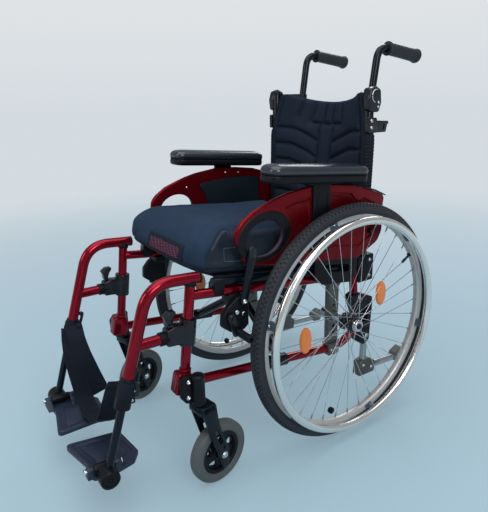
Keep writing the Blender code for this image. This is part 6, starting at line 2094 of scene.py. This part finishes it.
def back_shape():
    """Front and rear faces from post to post, each wrapped round the posts at both sides."""
    def sheet(radius, offset, stuffed):
        def point(u, v):
            side = 1 if u > 0.5 else -1
            from_edge = min(u, 1 - u) / WRAP_SHARE
            flat_x = side * BACK_HALF if from_edge < 1 else (u - 0.5) / (0.5 - WRAP_SHARE) * BACK_HALF
            across = min(1.0, abs(flat_x) / FRAME_X)
            dip = 0.028 * (1 - across ** 2)
            if stuffed:
                dip += 0.0012 * noise.noise(Vector((flat_x * 30, 3, 0)))
            z = BACK_LOW + (BACK_TOP - dip - BACK_LOW) * v
            rim = edge_share(v, 0.035)
            if from_edge < 1:
                swell = radius - (1 - rim) * 0.0022 * stuffed
                return leaning(round_post(side, swell, radians(88 - from_edge * 138), z))
            y = back_middle_y(flat_x, z) + offset
            if stuffed:
                gap = seam_gap(flat_x, z)
                panel = 1 - 1 / (1 + (gap / 0.005) ** 2) ** 1.2
                fold = noise.noise(Vector((flat_x * 18, z * 26, 1))) * 0.0016
                y += 0.0052 - panel * 0.01 * min(1.0, 0.3 + rim) - fold * panel - (rim - 1) * 0.003
            return leaning(Vector((flat_x, y, z)))
        return point
    return grid_solid(150, 110, sheet(0.0187, -0.0045, 1), sheet(0.0134, 0.006, 0))


def side_webbing_shape():
    """The elastic band down the outside of each post, woven in fine level ribs."""
    def sheet(height):
        def point(u, v):
            rib = 0.0015 * sqrt(abs(sin(v * pi * 30))) if height else 0
            return leaning(round_post(1, 0.0187 + height + rib, radians(28 + 60 * u), 0.505 + 0.255 * v))
        return point
    return grid_solid(12, 252, sheet(0.001), sheet(-0.0004))


def side_piping_shape():
    """The corded seam where the front cloth meets the side band."""
    x, y = FRAME_X + 0.0188 * sin(radians(12)), POST_Y - 0.0196 * cos(radians(12))
    return sweep([leaning(Vector((x, y, 0.505 + 0.356 * step / 59))) for step in range(60)], 0.0016, 12)


back = soft(back_shape(), "back_upholstery", "back_knit", ["back_upholstery"], sharp=60)
webbing, piping = side_webbing_shape(), side_piping_shape()
pair(webbing, "side_webbing", "webbing_black")
pair(piping, "side_piping", "seam_thread")

# %% [markdown]
# ## Calf strap
# A webbing strap hangs in a slack loop between the two leg sleeves and keeps the feet from slipping
# back. It lies over the right footplate, and its spare end hangs free from the right sleeve. A cuff
# of the same webbing holds it on each sleeve.

# %% Calf strap
STRAP_WIDTH, STRAP_THICKNESS = 0.046, 0.0026
STRAP_ROUTE = (
    (-0.156, -0.58, 0.308), (-0.144, -0.586, 0.28), (-0.129, -0.59, 0.25),
    (-0.124, -0.586, 0.195), (-0.108, -0.58, 0.13), (-0.06, -0.582, 0.118),
    (0.0, -0.58, 0.123), (0.045, -0.577, 0.152), (0.09, -0.575, 0.222),
    (0.132, -0.574, 0.284), (0.156, -0.576, 0.306),
)
FLAP_ROUTE = (
    (-0.16, -0.572, 0.311), (-0.142, -0.574, 0.285), (-0.129, -0.568, 0.245),
    (-0.124, -0.554, 0.19), (-0.118, -0.536, 0.129),
)


def evenly(points, count):
    """The same path with its points spaced evenly."""
    lengths = [0.0]
    for start, end in zip(points, points[1:]):
        lengths.append(lengths[-1] + (end - start).length)
    spaced = []
    at = 0
    for index in range(count + 1):
        target = lengths[-1] * index / count
        while at < len(lengths) - 2 and lengths[at + 1] < target:
            at += 1
        run = lengths[at + 1] - lengths[at]
        spaced.append(points[at].lerp(points[at + 1], (target - lengths[at]) / run))
    return spaced


def strap_shape(route, count, rise):
    """A band along the route. Its width runs fore and aft, and rises by the two shares given."""
    points = evenly(arc_corners([Vector(p) for p in route], 0.04, 8), count)

    def sheet(offset):
        def point(u, v):
            index = min(int(round(v * count)), count)
            ahead = (points[min(index + 1, count)] - points[max(index - 1, 0)]).normalized()
            across = Vector((0, 1, rise[0] + (rise[1] - rise[0]) * v)).normalized()
            normal = ahead.cross(across).normalized()
            sway = 0.001 * sin(v * 9 + u * 2) * (1 - abs(2 * v - 1))
            hem = 0.0005 if min(u, 1 - u) < 0.07 and offset > 0 else 0.0
            return points[index] + across * (u - 0.5) * STRAP_WIDTH + normal * (offset + sway + hem)
        return point

    return grid_solid(14, count, sheet(STRAP_THICKNESS / 2), sheet(-STRAP_THICKNESS / 2))


def cuff_shape():
    """The webbing wrapped round the leg sleeve, with the flat buckle pad at its rear."""
    heights = (0.283, 0.2836, 0.29, 0.308, 0.3144, 0.315)
    radii = (0.0162, 0.0172, 0.0177, 0.0174, 0.0168, 0.0158)
    cuff = sweep([leg_point(z) for z in heights], radii, 40)
    y = leg_point(0.299).y
    pad = block((FRAME_X - 0.026, y + 0.006, 0.286), (FRAME_X - 0.002, y + 0.019, 0.313), 0.004, 4)
    return joined(cuff, pad)


pair(cuff_shape(), "strap_cuff", "webbing_black", "hanger")
strap = strap_shape(STRAP_ROUTE, 72, (-0.3, -0.3))
dress(strap, "calf_strap", "hanger_right", "webbing_black", ["calf_strap"])
flap = strap_shape(FLAP_ROUTE, 30, (-0.25, 0.22))
dress(flap, "strap_flap", "hanger_right", "webbing_black")
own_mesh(strap)
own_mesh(flap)

# %% Remove the screw templates
for template in (SCREW, HEX_HEAD, WASHER):
    bpy.data.objects.remove(template)
